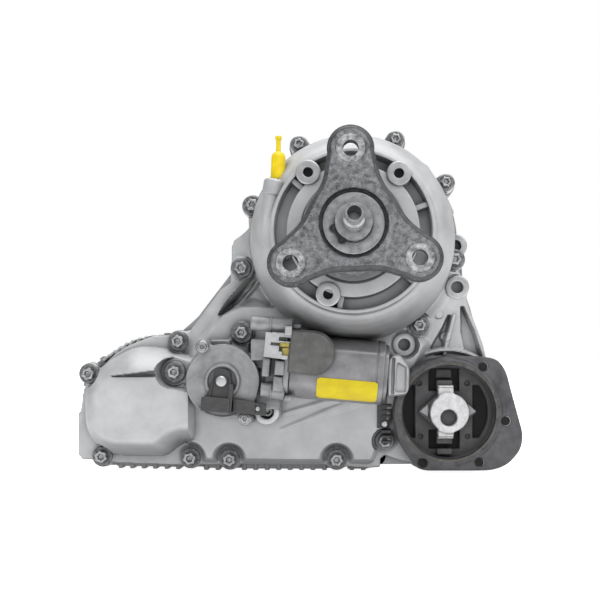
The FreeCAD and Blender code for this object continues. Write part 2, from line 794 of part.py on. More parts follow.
def rearCase():
    """Rear half of the casing: joint flange, dome, lobe, hump over the levers and bosses."""
    dome = turned("DomeForm", [
        ("0", "parting"), ("domeFoot", "parting"), ("domeMid", "domeMidDepth"),
        ("domeHigh", "domeHighDepth"), ("domeLip", "domeEnd"), ("domeLip - lipWide", "domeEnd"),
        ("domeLip - lipWide", "domeEnd - channelDeep"), ("neckRadius", "domeEnd - channelDeep"),
        ("neckRadius", "domeEnd"), ("0", "domeEnd")])
    hollow = turned("DomeHollow", [
        ("0", "parting"), ("mainChamber", "parting"), ("domeMid - wall", "domeMidDepth"),
        ("domeHigh - wall", "domeHighDepth - wall / 2"),
        ("domeLip - wall", "domeEnd - channelDeep - wall"),
        ("neckRadius", "domeEnd - channelDeep - wall"), ("neckRadius", "neckFront"),
        ("0", "neckFront")])
    ventCore = doc.addObject("Part::Common", "VentCore")
    ventCore.Base = upright("ventBoss + wall", "ventAcross", "ventDepth", "0", "domeFoot")
    ventCore.Tool = dome
    lobeAcross, lobeUp = spot("frontOutput")
    footSide = spot("actuatorBoltSide")
    spotFaces = [rod("boltHead + spotGap", "bossFace", "boltFlangeThick + boltDriveTall + wall", *at)
                 for at in boltPlaces]
    spotFaces += [
        rod("actuatorFoot + spotGap", "actuatorSeat", "lobeEnd - actuatorSeat", *footSide),
        strip(*spot("control"), *footSide, "actuatorFoot + spotGap", "actuatorFoot + spotGap",
              "actuatorSeat", "lobeEnd - actuatorSeat")]
    outer = joined(
        slab(bodyCorners, "parting", "coverFlange", "rimMargin"),
        slab(webCorners, "parting", "coverFlange", "rimMargin"),
        rod("bellRadius", "parting", "coverFlange"),
        dome,
        rounded(lobeForm("0", "(lobeEnd - parting)"), "lobeEnd", "lobeDraft"),
        slab(humpCorners, "parting", "actuatorSeat - parting", "humpMargin"),
        strip(*spot("strutTop"), *spot("strutLow"), "strutWide / 2", "strutWide / 2",
              "parting", "coverFlange + strutTall"),
        strip(*spot("cradleTop"), *spot("cradleLow"), "cradleHalf", "cradleHalf", "parting",
              "wormDepth + cradleProud - parting"),
        upright("ventBoss", "ventAcross", "ventDepth", "0", "ventBase"),
        *[rod("bossRadius", "parting", "bossFace - parting", *at) for at in boltPlaces],
        *[rod("lugRadius", "parting", "coverFlange", *at) for at in lugPlaces],
        *[rod("bossRadius", "parting", "mountStart - parting", *at) for at in mountHoles],
        *[rod("neckBossRadius", "neckBossEnd - neckHoleDepth - wall", "neckHoleDepth + wall", *at)
          for at in neckBosses],
        *[strip(f"neckRadius * cos({turn})", f"neckRadius * sin({turn})",
                f"(domeLip - lipWide / 2) * cos({turn})", f"(domeLip - lipWide / 2) * sin({turn})",
                "neckRibWide / 2", "neckRibWide / 2", "domeEnd - channelDeep - wall / 2",
                "channelDeep") for turn in evenTurns("neckRibCount", "neckRibFirst")])
    inner = [
        hollow,
        lobeForm("wall", "(lobeEnd - wall - parting)"),
        slab(humpCorners, "parting", "humpInside - parting", "humpMargin - wall"),
        rod("camWindow", "parting", "actuatorSeat - parting", *spot("control"))]
    seats = joined(
        cutEach(outer, joined(*spotFaces), *inner),
        ventCore,
        rod("outputTailRace + wall", "outputTailBearing", "lobeEnd - outputTailBearing",
            lobeAcross, lobeUp),
        rod("idlerRaceOuter + wall", "idlerRearBearing - seatLand", "idlerBearingWide + 2 * seatLand",
            "idlerAcross", "idlerUp"),
        *[rod("actuatorBoss", "actuatorSeat - actuatorEngage", "actuatorEngage", *at)
          for at in actuatorBolts])
    holes = [rod("boltHole", "parting", "bossFace - parting", *at) for at in boltPlaces]
    holes += [rod("lugHole", "parting", "coverFlange", *at) for at in lugPlaces]
    holes += [rod("boltHole", "parting", "mountStart - parting", *at) for at in mountHoles]
    holes += [rod("neckBossHole", "neckBossEnd - neckHoleDepth", "neckHoleDepth", *at)
              for at in neckBosses]
    holes += [rod("boltHole", "actuatorSeat - actuatorEngage", "actuatorEngage", *at) for at in actuatorBolts]
    bores = [
        rod("mainRaceOuter + fitGap", "rearBearingStart", "domeEnd - rearBearingStart"),
        rod("shaftRadius + wall", "neckFront", "domeEnd - neckFront"),
        rod("outputTailRace + fitGap", "outputTailBearing", "outputBearingWide", lobeAcross, lobeUp),
        rod("idlerRaceOuter + fitGap", "idlerRearBearing - seatLand", "idlerBearingWide + seatLand",
            "idlerAcross", "idlerUp"),
        rod("mountWindow", "parting", "mountStart - parting", *spot("mount")),
        upright("ventPipe", "ventAcross", "ventDepth", "ventBase - ventPipeStand", "ventPipeStand"),
        upright("ventCapRadius + ventNotch", "ventAcross", "ventDepth", "ventBase", "domeFoot"),
        *[rod("dowelRadius + fitGap", "parting", "dowelLong / 2", *at) for at in dowels]]
    return cut(seats, *holes, *bores, label="rear_case")


def lobeForm(inset, length):
    """The lobe over the front output, round on the left and square on the right, drawn in by an inset."""
    across, up = spot("frontOutput")
    form = doc.addObject("Part::Common", "LobeForm")
    form.Base = joined(
        cone(f"lobeRadius - {inset}", f"lobeRadius - {inset} - lobeDraft", "parting", length, across, up),
        slab([(across, f"{up} + lobeTop - {inset}"), (f"{across} + lobeRight", f"{up} + lobeTop - {inset}"),
              (f"{across} + lobeRight", f"{up} - lobeLow + {inset}"), (across, f"{up} - lobeLow + {inset}")],
             "parting", length))
    form.Tool = box(f"{across} - lobeRadius", f"{up} - lobeRadius", "parting",
                    f"lobeRadius + lobeRight - {inset}", "2 * lobeRadius", length)
    return form


def frontCase():
    """Front half of the casing: bell towards the gearbox, gear chambers and bearing seats."""
    lobeAcross, lobeUp = spot("frontOutput")
    ribs = []
    for fromName, toName, ribEnd in (
            ("boltB", "boltC", "ribReach"), ("boltC", "boltE", "ribReach"), ("boltE", "boltF", "ribReach"),
            ("boltF", "rimLow", "ribReach"), ("boltA", "rimShoulder", "ribShortReach"),
            ("rimShoulder", "rimTop", "ribShortReach"), ("rimTop", "boltD", "ribShortReach"),
            ("rimSide", "boltA", "ribShortReach")):
        ribs += ribRow(fromName, toName, ribEnd)
    outer = joined(
        slab(bodyCorners, "lobeFront", "parting - lobeFront", "rimMargin"),
        slab(webCorners, "parting - webThick", "webThick", "rimMargin"),
        cut(rod("bellRadius", "0", "parting"),
            ring("bellRecessOuter", "bellRecessInner", "0", "lobeFront")),
        rod("snoutRadius", "outputStart + 2 * seatLand", "lobeFront - outputStart", lobeAcross, lobeUp),
        rod("idlerBoss", "idlerBossFront", "chamberFront - idlerBossFront", "idlerAcross", "idlerUp"),
        slab([spot("pad"), spot("boltB"), spot("frontOutput"), spot("rimSide")], "lobeFront + wall",
             "parting - lobeFront - wall", "rimMargin"),
        *[rod("bossRadius", "parting - boltEngage - wall", "boltEngage + wall", *at) for at in boltPlaces],
        *[rod("lugRadius", "0", "parting", *at) for at in lugPlaces],
        *ribs)
    chambers = [
        rod("mainChamber", "chamberFront", "parting - chamberFront"),
        rod("idlerTip + gearTipGap", "chamberFront", "parting - chamberFront", "idlerAcross", "idlerUp"),
        rod("outputTip + gearTipGap", "chamberFront", "parting - chamberFront", lobeAcross, lobeUp)]
    shell = joined(
        cut(outer, *chambers),
        *[rod("bossRadius", "parting - boltEngage - wall", "boltEngage + wall", *at)
          for at in (spot("boltK"), spot("boltJ"))])
    holes = [rod("boltHole", "parting - boltEngage", "boltEngage", *at) for at in boltPlaces]
    holes += [rod("lugHole", "0", "parting", *at) for at in lugPlaces]
    holes += [rod("boltHole", "parting - webThick", "webThick", *at) for at in mountHoles]
    holes += [rod("gearboxHole", "0", "gearboxHoleDepth", *at)
              for at in circled("gearboxBoltCount", "gearboxPitchRadius", "gearboxBoltFirst")]
    bores = [
        rod("mainRaceOuter + fitGap", "frontBearingStart", "chamberFront - frontBearingStart"),
        rod("shaftRadius + wall", "0", "chamberFront"),
        rod("outputRaceOuter + fitGap", "outputFrontBearing", "chamberFront - outputFrontBearing",
            lobeAcross, lobeUp),
        rod("outputShaft + wall", "outputStart", "chamberFront", lobeAcross, lobeUp),
        rod("idlerRaceOuter + fitGap", "idlerFrontBearing", "chamberFront - idlerFrontBearing",
            "idlerAcross", "idlerUp"),
        rod("mountWindow", "parting - webThick", "webThick", *spot("mount")),
        rod("plugRadius", "lobeFront", "chamberFront - lobeFront", *spot("fill")),
        rod("plugRadius", "lobeFront", "chamberFront - lobeFront", *spot("drain")),
        *[rod("dowelRadius + fitGap", "parting - dowelLong / 2", "dowelLong / 2", *at) for at in dowels]]
    return cut(shell, *holes, *bores, label="front_case")


def ribRow(fromName, toName, reach):
    """Short outer ribs at an even pitch along the wall between two bolts."""
    firstAcross, firstUp = (value(text) for text in spot(fromName))
    lastAcross, lastUp = (value(text) for text in spot(toName))
    long = math.hypot(lastAcross - firstAcross, lastUp - firstUp)
    room = long - 2 * value("ribEndSpace")
    count = max(1, int(room / value("ribPitch")) + 1)
    along = f"sqrt(({toName}Across - {fromName}Across)^2 + ({toName}Up - {fromName}Up)^2)"
    stepAcross = f"(({toName}Across - {fromName}Across) / {along})"
    stepUp = f"(({toName}Up - {fromName}Up) / {along})"
    side = 1 if stepOutwards(fromName, toName) else -1
    ribs = []
    for index in range(count):
        slide = f"({along} / 2 + {index - (count - 1) / 2} * ribPitch)"
        across = f"({fromName}Across + {slide} * {stepAcross})"
        up = f"({fromName}Up + {slide} * {stepUp})"
        ribs.append(strip(across, up, f"{across} + {side} * {reach} * {stepUp}",
                          f"{up} - {side} * {reach} * {stepAcross}", "ribWide / 2", "ribWide / 2",
                          "ribFront", "parting - ribFront"))
    return ribs


def stepOutwards(fromName, toName):
    """Whether the right-hand side of a walk between two bolts faces away from the idler."""
    firstAcross, firstUp = (value(text) for text in spot(fromName))
    lastAcross, lastUp = (value(text) for text in spot(toName))
    rightAcross = lastUp - firstUp
    rightUp = firstAcross - lastAcross
    middleAcross = (firstAcross + lastAcross) / 2 - value("idlerAcross")
    middleUp = (firstUp + lastUp) / 2 - value("idlerUp")
    return rightAcross * middleAcross + rightUp * middleUp > 0


def caseFasteners():
    """Bolts of the joint face, long bolts to the gearbox left out, with plugs and dowels."""
    group(*[flangedBolt("boltShank", "boltHead", "bossFace",
                        "bossFace - parting + boltEngage - boltEndGap", *at) for at in boltPlaces],
          label="case_bolts")
    group(*[flangedBolt("boltShank", "boltHead", "actuatorSeat + actuatorFootThick",
                        "actuatorFootThick + actuatorEngage - boltEndGap", *at) for at in actuatorBolts],
          label="actuator_bolts")
    group(*[flangedBolt("boltShank", "boltHead", "parting - webThick",
                        "webThick + mountStart - parting + mountThick - mountBoltEnd", *at, away=-1)
            for at in mountHoles], label="mount_bolts")
    group(*[joined(rod("plugHead", "lobeFront - plugHeadTall", "plugHeadTall", *spot(at)),
                   rod("plugRadius - fitGap", "lobeFront", "chamberFront - lobeFront", *spot(at)))
            for at in ("fill", "drain")], label="case_plugs")
    group(*[rod("dowelRadius", "parting - dowelLong / 2 + castingGap", "dowelLong - 2 * castingGap", *at)
            for at in dowels], label="joint_dowels")


def actuator():
    """Gear pot with its cover, bolted on the hump, and the tunnel to the motor."""
    control = spot("control")
    feet = [rod("actuatorFoot", "actuatorSeat", "actuatorFootThick", *at) for at in actuatorBolts]
    arms = [strip(*control, *at, "actuatorFoot", "actuatorFoot", "actuatorSeat", "actuatorFootThick")
            for at in actuatorBolts]
    lugs = [rod("screwLug", "actuatorSeat", "potEnd - actuatorSeat", *at) for at in coverScrews]
    lugArms = [strip(*control, *at, "screwLug", "screwLug", "actuatorSeat", "potEnd - actuatorSeat")
               for at in coverScrews]
    body = joined(rod("potRadius", "actuatorSeat", "potEnd - actuatorSeat", *control), *feet, *arms,
                  *lugs, *lugArms, motorRod("tunnelRadius", "wormHalf", "motorStart - wormHalf"),
                  flatted("motorFlangeHalf", "motorFlat", "motorStart - motorFlangeThick",
                          "motorFlangeThick"))
    cut(body,
        rod("potRadius - potWall", "actuatorSeat + potWall", "potEnd - actuatorSeat - potWall", *control),
        rod("controlShaft + journalGap", "actuatorSeat", "potWall", *control),
        motorRod("tunnelBore", "wormHalf - wall", "motorStart - wormHalf + wall"),
        *[rod("boltHole", "actuatorSeat", "actuatorFootThick", *at) for at in actuatorBolts],
        *[rod("screwShank + fitGap", "potEnd - 2 * potWall", "2 * potWall", *at) for at in coverScrews],
        label="actuator_housing")
    cut(joined(rod("potRadius", "potEnd", "coverThick", *control),
               rod("coverRiseRadius", "potEnd", "coverThick + coverRise", *control),
               *[rod("screwLug", "potEnd", "coverThick", *at) for at in coverScrews],
               *[strip(*control, *at, "screwLug", "screwLug", "potEnd", "coverThick") for at in coverScrews]),
        rod("controlShaft + journalGap", "potEnd", "coverThick - coverSkin", *control),
        *[rod("screwShank + fitGap", "potEnd", "coverThick", *at) for at in coverScrews],
        label="actuator_cover")
    group(*[joined(rod("screwShank", "potEnd - potWall", "potWall + coverThick", *at),
                   rod("screwHead", "potEnd + coverThick", "screwHeadTall", *at)) for at in coverScrews],
          label="cover_screws")


def motor():
    """Flat-sided motor can with its magnets, plug plate and blank label."""
    cut(flatted("motorRadius", "motorFlat", "motorStart", "motorLength"),
        flatted("motorRadius - motorWall", "motorFlat - motorWall", "motorStart", "motorLength - motorWall"),
        label="motor_can")
    magnetOuter = "motorFlat - motorWall - fitGap"
    magnetLong = "motorLength - rotorGap - rotorTailGap"
    shell = cut(motorRod(magnetOuter, "motorStart + rotorGap", magnetLong),
                motorRod("rotorRadius + magnetGap", "motorStart + rotorGap", magnetLong),
                motorBlock("motorStart + rotorGap", "-magnetSplit", "wormDepth - motorRadius", magnetLong,
                           "2 * magnetSplit", "2 * motorRadius"), label="motor_magnets")
    motorBlock("labelAlong", "labelAside", "wormDepth + motorFlat", "labelLong", "labelWide",
               "labelThick").Label = "motor_label"
    plugBase = "wormDepth + motorFlat"
    roundAlong = "(motorStart + plugLong - plugWide / 2)"
    cut(joined(motorBlock("motorStart - motorFlangeThick", "-plugWide / 2 - plugLift", plugBase,
                          "plugLong - plugWide / 2 + motorFlangeThick", "plugWide", "plugThick"),
               rod("plugWide / 2", plugBase, "plugThick",
                   f"wormAcross + {roundAlong} * cos(wormTilt) + plugLift * sin(wormTilt)",
                   f"wormUp - {roundAlong} * sin(wormTilt) + plugLift * cos(wormTilt)")),
        motorRod("motorFlangeHalf", "0", "motorStart - motorFlangeThick"), label="motor_plug_cover")
    motorBlock("contactAlong", "-contactWide / 2 - plugLift", plugBase, "contactLong", "contactWide",
               "contactThick").Label = "motor_contact_plate"
    return shell


def positionSensor():
    """Black sensor over the end of the cam shaft, with its arm and centre screw."""
    control = spot("control")
    base = "potEnd + coverThick + coverRise"
    boxUp = "controlUp - sensorTongueDrop - sensorBoxTall"
    cut(joined(
        rod("sensorTongueWide / 2", base, "sensorThick", *control),
        box("controlAcross - sensorTongueWide / 2", "controlUp - sensorTongueDrop", base,
            "sensorTongueWide", "sensorTongueDrop", "sensorThick"),
        box("controlAcross - sensorBoxLeft", boxUp, "potEnd + coverThick + castingGap",
            "sensorBoxWide", "sensorBoxTall", "sensorBoxDeep"),
        strip("controlAcross + sensorArmFrom", f"{boxUp} + sensorArmTall / 2",
              "controlAcross + sensorArmFrom + sensorArmLong", f"{boxUp} + sensorArmTall / 2 - sensorArmDrop",
              "sensorArmTall / 2", "sensorArmTall / 2", "potEnd + coverThick + castingGap",
              "sensorArmThick")),
        rod("sensorPin / 2 + fitGap", base, "sensorThick", *control), label="position_sensor")
    joined(rod("sensorPin / 2", base, "sensorThick", *control),
           rod("sensorPin", f"{base} + sensorThick", "sensorPin / 2", *control), label="sensor_screw")


def breather():
    """Vent pipe pressed in its boss, and the pull-off cap over it."""
    at = ("ventAcross", "ventDepth")
    cut(upright("ventPipe - fitGap", *at, "ventBase - ventPipeStand", "2 * ventPipeStand"),
        upright("ventPipe / 2", *at, "ventBase - ventPipeStand", "2 * ventPipeStand"), label="vent_pipe")
    cut(joined(upright("ventCapRadius", *at, "ventBase + castingGap", "ventCapTall"),
               upright("ventStem", *at, "ventBase + ventCapTall", "ventStemTall"),
               upright("ventFlare", *at, "ventBase + ventCapTall + ventStemTall - ventFlareTall",
                       "ventFlareTall")),
        upright("ventPipe + journalGap", *at, "ventBase + castingGap", "ventPipeStand + castingGap"),
        label="vent_cap")


def outputFlange():
    """Three-armed flange on the rear of the main shaft, with its washer and ring."""
    hub = turned("FlangeHub", [
        ("shaftRadius + fitGap", "rearBearingStart + mainBearingWide"),
        ("flangeSleeve", "rearBearingStart + mainBearingWide"), ("flangeSleeve", "flangeHubStart"),
        ("flangeHub", "flangeHubStart"), ("flangeHub", "flangeFace - flangeThick"),
        ("flangeArmRoot + wall", "flangeFace - seatLand"), ("flangeArmRoot + wall", "flangeFace"),
        ("flangeRecess", "flangeFace"), ("flangeRecess", "recessFloor"),
        ("shaftRadius + fitGap", "recessFloor")])
    arms = []
    holes = []
    faceStart = "flangeFace - flangeThick"
    for turn in ("flangeTurn", "flangeTurn + 120", "flangeTurn + 240"):
        across = f"flangePitchRadius * cos({turn})"
        up = f"flangePitchRadius * sin({turn})"
        arms.append(strip("0", "0", across, up, "flangeArmRoot", "flangeArmEnd", faceStart, "flangeThick"))
        arms.append(rod("flangeArmEnd", faceStart, "flangeThick", across, up))
        holes.append(rod("flangeHole", faceStart, "flangeThick", across, up))
    cut(joined(hub, cut(joined(*arms), rod("flangeRecess", faceStart, "flangeThick"))), *holes,
        label="output_flange")
    ring("flangeRecess - castingGap", "shaftTipRadius + fitGap", "recessFloor", "washerThick",
         label="flange_washer")
    cut(ring("circlipRadius", "shaftTipRadius - circlipGroove + fitGap", "recessFloor + washerThick",
             "circlipThick"),
        strip("0", "0", "-flangeRecess", "-flangeRecess", "circlipThick", "circlipThick",
              "recessFloor + washerThick", "circlipThick"), label="flange_circlip")


def mainShaft():
    """Main shaft: splined socket for the gearbox, bearing seats and centring pin."""
    shaft = turned("ShaftForm", [
        ("splineMouth", "shaftStart"), ("shaftRadius", "shaftStart"), ("shaftRadius", "recessFloor"),
        ("shaftTipRadius", "recessFloor"), ("shaftTipRadius", "recessFloor + washerThick"),
        ("shaftTipRadius - circlipGroove", "recessFloor + washerThick"),
        ("shaftTipRadius - circlipGroove", "recessFloor + washerThick + circlipThick + fitGap"),
        ("shaftTipRadius", "recessFloor + washerThick + circlipThick + fitGap"),
        ("shaftTipRadius", "shaftEnd"), ("pinRadius", "shaftEnd"), ("pinRadius", "pinWaist"),
        ("pinTipRadius", "pinWaist + pinTaper"), ("pinTipRadius", "pinEnd"), ("pinBore", "pinEnd"),
        ("pinBore", "pinEnd - pinBoreDeep"), ("0", "pinEnd - pinBoreDeep"),
        ("0", "shaftStart + splineBoreDeep"), ("splineBore", "shaftStart + splineBoreDeep"),
        ("splineBore", "shaftStart + splineLead"), ("splineMouth", "shaftStart + splineLead")])
    cut(shaft, splineCutter("splineTeeth", "splineModule", "0", "0", "shaftStart + splineLead",
                            "splineBoreDeep - 2 * splineLead"), label="main_shaft")


def splineCutter(teeth, module, across, up, start, length):
    """Toothed core that cuts the grooves of an internal spline."""
    points = toothedOutline(int(round(value(teeth))), value(module), 0, value("splinePlay"),
                            value("splineTooth"), value("splineGroove"))
    return computed("Spline", prism(points, value(across), value(up), value(start), value(length)))


def mainBearings():
    """Ball bearings and seals of the main shaft."""
    front = bearing("shaftRadius", "mainRaceOuter", "frontBearingStart", "mainBearingWide", "ballCount")
    rear = bearing("shaftRadius", "mainRaceOuter", "rearBearingStart", "mainBearingWide", "ballCount")
    group(front[0], rear[0], label="main_bearing_outer_races")
    group(front[1], rear[1], label="main_bearing_inner_races")
    ring("mainRaceOuter", "flangeSleeve + sealGap", "domeEnd - sealWide", "sealWide", label="rear_seal")
    return front[2] + rear[2]


def clutch():
    """Multi-plate clutch between the main shaft and the drive gear."""
    firstTooth = math.atan2(value("idlerUp"), value("idlerAcross"))
    cut(gearBlank("driveTeeth", firstTooth, "0", "0"), rod("gearBore", "gearStart", "gearFace"),
        label="drive_gear")
    ring("shaftRadius + sleeveThick", "shaftRadius + fitGap", "sleeveStart",
         "gearEnd + basketWeb - sleeveStart", label="drive_gear_bush")
    turned("clutch_basket", [
        ("gearBore", "gearEnd"), ("basketRadius", "gearEnd"), ("basketRadius", "basketEnd"),
        ("drumInner", "basketEnd"), ("drumInner", "gearEnd + basketWeb"),
        ("gearBore", "gearEnd + basketWeb")])
    hubStart = "(gearEnd + basketWeb + plateGap)"
    hubMiddle = f"(({hubStart} + hubEnd) / 2)"
    turned("clutch_hub", [
        ("shaftRadius + fitGap", hubStart), ("shaftRadius + hubThick", hubStart),
        ("shaftRadius + hubThick", f"{hubMiddle} - hubWeb / 2"),
        ("hubRadius - hubThick", f"{hubMiddle} - hubWeb / 2"), ("hubRadius - hubThick", hubStart),
        ("hubRadius", hubStart), ("hubRadius", "hubEnd"), ("hubRadius - hubThick", "hubEnd"),
        ("hubRadius - hubThick", f"{hubMiddle} + hubWeb / 2"),
        ("shaftRadius + hubThick", f"{hubMiddle} + hubWeb / 2"),
        ("shaftRadius + hubThick", "hubEnd"), ("shaftRadius + fitGap", "hubEnd")])
    friction = []
    steel = []
    for index in range(int(value("plateCount"))):
        start = f"packStart + {2 * index} * (plateThick + plateGap)"
        friction.append(ring("drumInner - plateOverlap", "hubRadius + fitGap", start, "plateThick"))
        steel.append(ring("drumInner - fitGap", "hubRadius + plateOverlap",
                          f"{start} + plateThick + plateGap", "plateThick"))
    group(*friction, label="friction_plates")
    group(*steel, label="steel_plates")
    pressure = ring("drumInner - journalGap", "shaftRadius + hubThick", "pressureStart", "pressureThick",
                    label="pressure_plate")
    pressureEnd = "(pressureStart + pressureThick)"
    group(ring("leverRing", "shaftRadius + hubThick", f"{pressureEnd} + castingGap",
               f"leverStart - {pressureEnd} - 2 * castingGap"),
          ring("leverRing", "shaftRadius + hubThick", "leverEnd + castingGap", "thrustThick"),
          label="thrust_bearings")
    return pressure


def lever(label, start, side):
    """Ring round the main shaft with a long arm, a ball track and a roller pin."""
    across = f"(controlAcross + {side} * rollerOffset * perpAcross)"
    up = f"(controlUp + {side} * rollerOffset * perpUp)"
    track = doc.addObject("Part::Torus", "RampTrack")
    bind(track, Radius1="rampRadius", Radius2="rampBall + ballRun")
    track.Placement = FreeCAD.Placement(FreeCAD.Vector(), rearward)
    place(track, depth="leverStart + leverThick + leverGap / 2")
    pinStart = "camStartDepth" if side < 0 else start
    pinEnd = f"({start} + leverThick)" if side < 0 else "(camStartDepth + camThick)"
    cut(joined(rod("leverRing", start, "leverThick"),
               strip("0", "0", across, up, "leverRoot", "leverArm", start, "leverThick"),
               rod("leverEye", start, "leverThick", across, up),
               rod("rollerPin", pinStart, f"{pinEnd} - {pinStart}", across, up)),
        rod("shaftRadius + leverRun", start, "leverThick"), track, label=label)
    return ring("rollerRadius", "rollerPin + journalGap", "camStartDepth", "camThick", across, up)


def leversAndCam():
    """Two scissor levers, the balls between them, and the cam that spreads them."""
    lever("front_lever", "leverStart", 1).Label = "front_lever_roller"
    lever("rear_lever", "leverRearStart", -1).Label = "rear_lever_roller"
    balls = []
    for across, up in circled("rampBallCount", "rampRadius", "rampBallFirst"):
        piece = doc.addObject("Part::Sphere", "RampBall")
        bind(piece, Radius="rampBall")
        balls.append(place(piece, across, "leverStart + leverThick + leverGap / 2", up))
    group(*balls, label="ramp_balls")
    low, high, sweep, fall = (value(name) for name in ("camLow", "camHigh", "camSweep", "camFall"))
    contact = math.degrees(math.atan2(value("perpUp"), value("perpAcross")))
    points = []
    for step in range(120):
        turn = step * 3
        part = turn % 180
        rise = part / sweep if part <= sweep else max(0, 1 - (part - sweep) / fall)
        points.append((math.radians(contact - turn), low + (high - low) * rise))
    disc = computed("CamForm", prism(points, value("controlAcross"), value("controlUp"),
                                     value("camStartDepth"), value("camThick")))
    cut(disc, rod("controlShaft + fitGap", "camStartDepth", "camThick", *spot("control")),
        label="control_cam")
    rod("controlShaft", "controlShaftStart", "potEnd + coverThick - coverSkin - fitGap - controlShaftStart",
        *spot("control"), label="control_shaft")


def wormDrive():
    """Worm wheel on the cam shaft, worm on the motor shaft, and the motor's rotor."""
    gap = math.radians(90 - value("wormTilt"))
    wheel = gearBlank("wheelTeeth", gap + math.pi / value("wheelTeeth"), *spot("control"),
                      module="wormModule", start="wormDepth - wheelFace / 2", face="wheelFace",
                      backlash="wormBacklash")
    cut(wheel, rod("controlShaft + fitGap", "wormDepth - wheelFace / 2", "wheelFace", *spot("control")),
        label="worm_wheel")
    body = doc.addObject("PartDesign::Body", "worm_shaft")
    core = body.newObject("PartDesign::AdditiveCylinder", "WormCore")
    bind(core, Radius="wormCore", Height="wormHalf + motorStart + motorLength - rotorTailGap / 2")
    pitch = "(pi * wormModule)"
    middle = f"(wormHalf - 3 * {pitch})"
    plane = next(item for item in body.Origin.OriginFeatures if item.Role == "XZ_Plane")
    sketch = body.newObject("Sketcher::SketchObject", "ThreadProfile")
    sketch.AttachmentSupport = (plane, "")
    sketch.MapMode = "FlatFace"
    closedLoop(sketch, [
        ("wormCore - fitGap", f"{middle} - wormThreadRoot / 2"),
        ("wormTip", f"{middle} - wormThreadTip / 2"),
        ("wormTip", f"{middle} + wormThreadTip / 2"),
        ("wormCore - fitGap", f"{middle} + wormThreadRoot / 2")])
    doc.recompute()
    thread = body.newObject("PartDesign::AdditiveHelix", "WormThread")
    thread.Profile = sketch
    thread.ReferenceAxis = (sketch, ["V_Axis"])
    thread.Mode = 0
    bind(thread, Pitch=pitch, Height=f"6 * {pitch}")
    body.Tip = thread
    onMotorLine(body, "-wormHalf")
    rotorStart = "motorStart + rotorGap"
    cut(motorRod("rotorRadius", rotorStart, "motorLength - rotorGap - rotorTailGap"),
        motorRod("wormCore + fitGap", rotorStart, "motorLength - rotorGap - rotorTailGap"),
        label="motor_rotor")


def rimmedGear(teeth, tip, firstTooth, across, up, shaft, hubStart, hubEnd):
    """A gear with a toothed rim, a thin web and a long hub."""
    rimInner = f"({tip} - 2.25 * gearModule - gearRimThick)"
    hubRadius = f"({shaft} + hubThick)"
    webSide = "((gearFace - gearWebThick) / 2)"
    return cut(joined(gearBlank(teeth, firstTooth, across, up),
                      rod(hubRadius, hubStart, f"{hubEnd} - {hubStart}", across, up)),
               ring(rimInner, hubRadius, "gearStart", webSide, across, up),
               ring(rimInner, hubRadius, f"gearEnd - {webSide}", webSide, across, up),
               rod(f"{shaft} + fitGap", hubStart, f"{hubEnd} - {hubStart}", across, up))


def idlerAndOutput():
    """Idler gear and front output gear, with their shafts and bearings."""
    idler = ("idlerAcross", "idlerUp")
    output = spot("frontOutput")
    towards = math.atan2(value("idlerUp"), value("idlerAcross"))
    idlerStep = 2 * math.pi / value("idlerTeeth")
    outputStep = 2 * math.pi / value("outputTeeth")
    idlerFirst = towards + math.pi + idlerStep / 2
    onward = math.atan2(value("frontOutputUp") - value("idlerUp"),
                        value("frontOutputAcross") - value("idlerAcross"))
    lag = math.fmod(onward - idlerFirst, idlerStep) / idlerStep
    outputFirst = onward + math.pi + lag * outputStep + outputStep / 2
    rimmedGear("idlerTeeth", "idlerTip", idlerFirst, *idler, "idlerShaft",
               "(chamberFront + castingGap)", "(idlerRearBearing - castingGap)").Label = "idler_gear"
    rod("idlerShaft", "idlerFrontBearing", "idlerRearBearing + idlerBearingWide - idlerFrontBearing",
        *idler, label="idler_shaft")
    rimmedGear("outputTeeth", "outputTip", outputFirst, *output, "outputShaft",
               "(chamberFront + castingGap)", "(gearEnd + hubThick)").Label = "front_output_gear"
    shaft = turned("OutputForm", [
        ("outputSplineMouth", "outputStart"), ("outputShaft", "outputStart"),
        ("outputShaft", "outputTailBearing - hubThick"), ("outputTailShaft", "outputTailBearing - hubThick"),
        ("outputTailShaft", "outputTailBearing + outputBearingWide"),
        ("0", "outputTailBearing + outputBearingWide"), ("0", "outputStart + outputSplineDeep"),
        ("outputSplineBore", "outputStart + outputSplineDeep"),
        ("outputSplineBore", "outputStart + splineLead"),
        ("outputSplineMouth", "outputStart + splineLead")], *output)
    cut(shaft, splineCutter("outputSplineTeeth", "splineModule", *output, "outputStart + splineLead",
                            "outputSplineDeep - 2 * splineLead"), label="front_output_shaft")
    idlerFront = bearing("idlerShaft", "idlerRaceOuter", "idlerFrontBearing", "idlerBearingWide",
                         "smallBallCount", *idler)
    idlerRear = bearing("idlerShaft", "idlerRaceOuter", "idlerRearBearing", "idlerBearingWide",
                        "smallBallCount", *idler)
    outputFront = bearing("outputShaft", "outputRaceOuter", "outputFrontBearing", "outputBearingWide",
                          "smallBallCount", *output)
    outputTail = bearing("outputTailShaft", "outputTailRace", "outputTailBearing", "outputBearingWide",
                         "smallBallCount", *output)
    group(idlerFront[0], idlerRear[0], label="idler_bearing_outer_races")
    group(idlerFront[1], idlerRear[1], label="idler_bearing_inner_races")
    group(outputFront[0], outputTail[0], label="output_bearing_outer_races")
    group(outputFront[1], outputTail[1], label="output_bearing_inner_races")
    group(ring("outputShaft + wall", "outputShaft + sealGap", "outputStart + sealInset", "sealWide", *output),
          ring("shaftRadius + wall", "shaftRadius + sealGap", "sealInset", "sealWide"), label="front_seals")
    return idlerFront[2] + idlerRear[2] + outputFront[2] + outputTail[2]


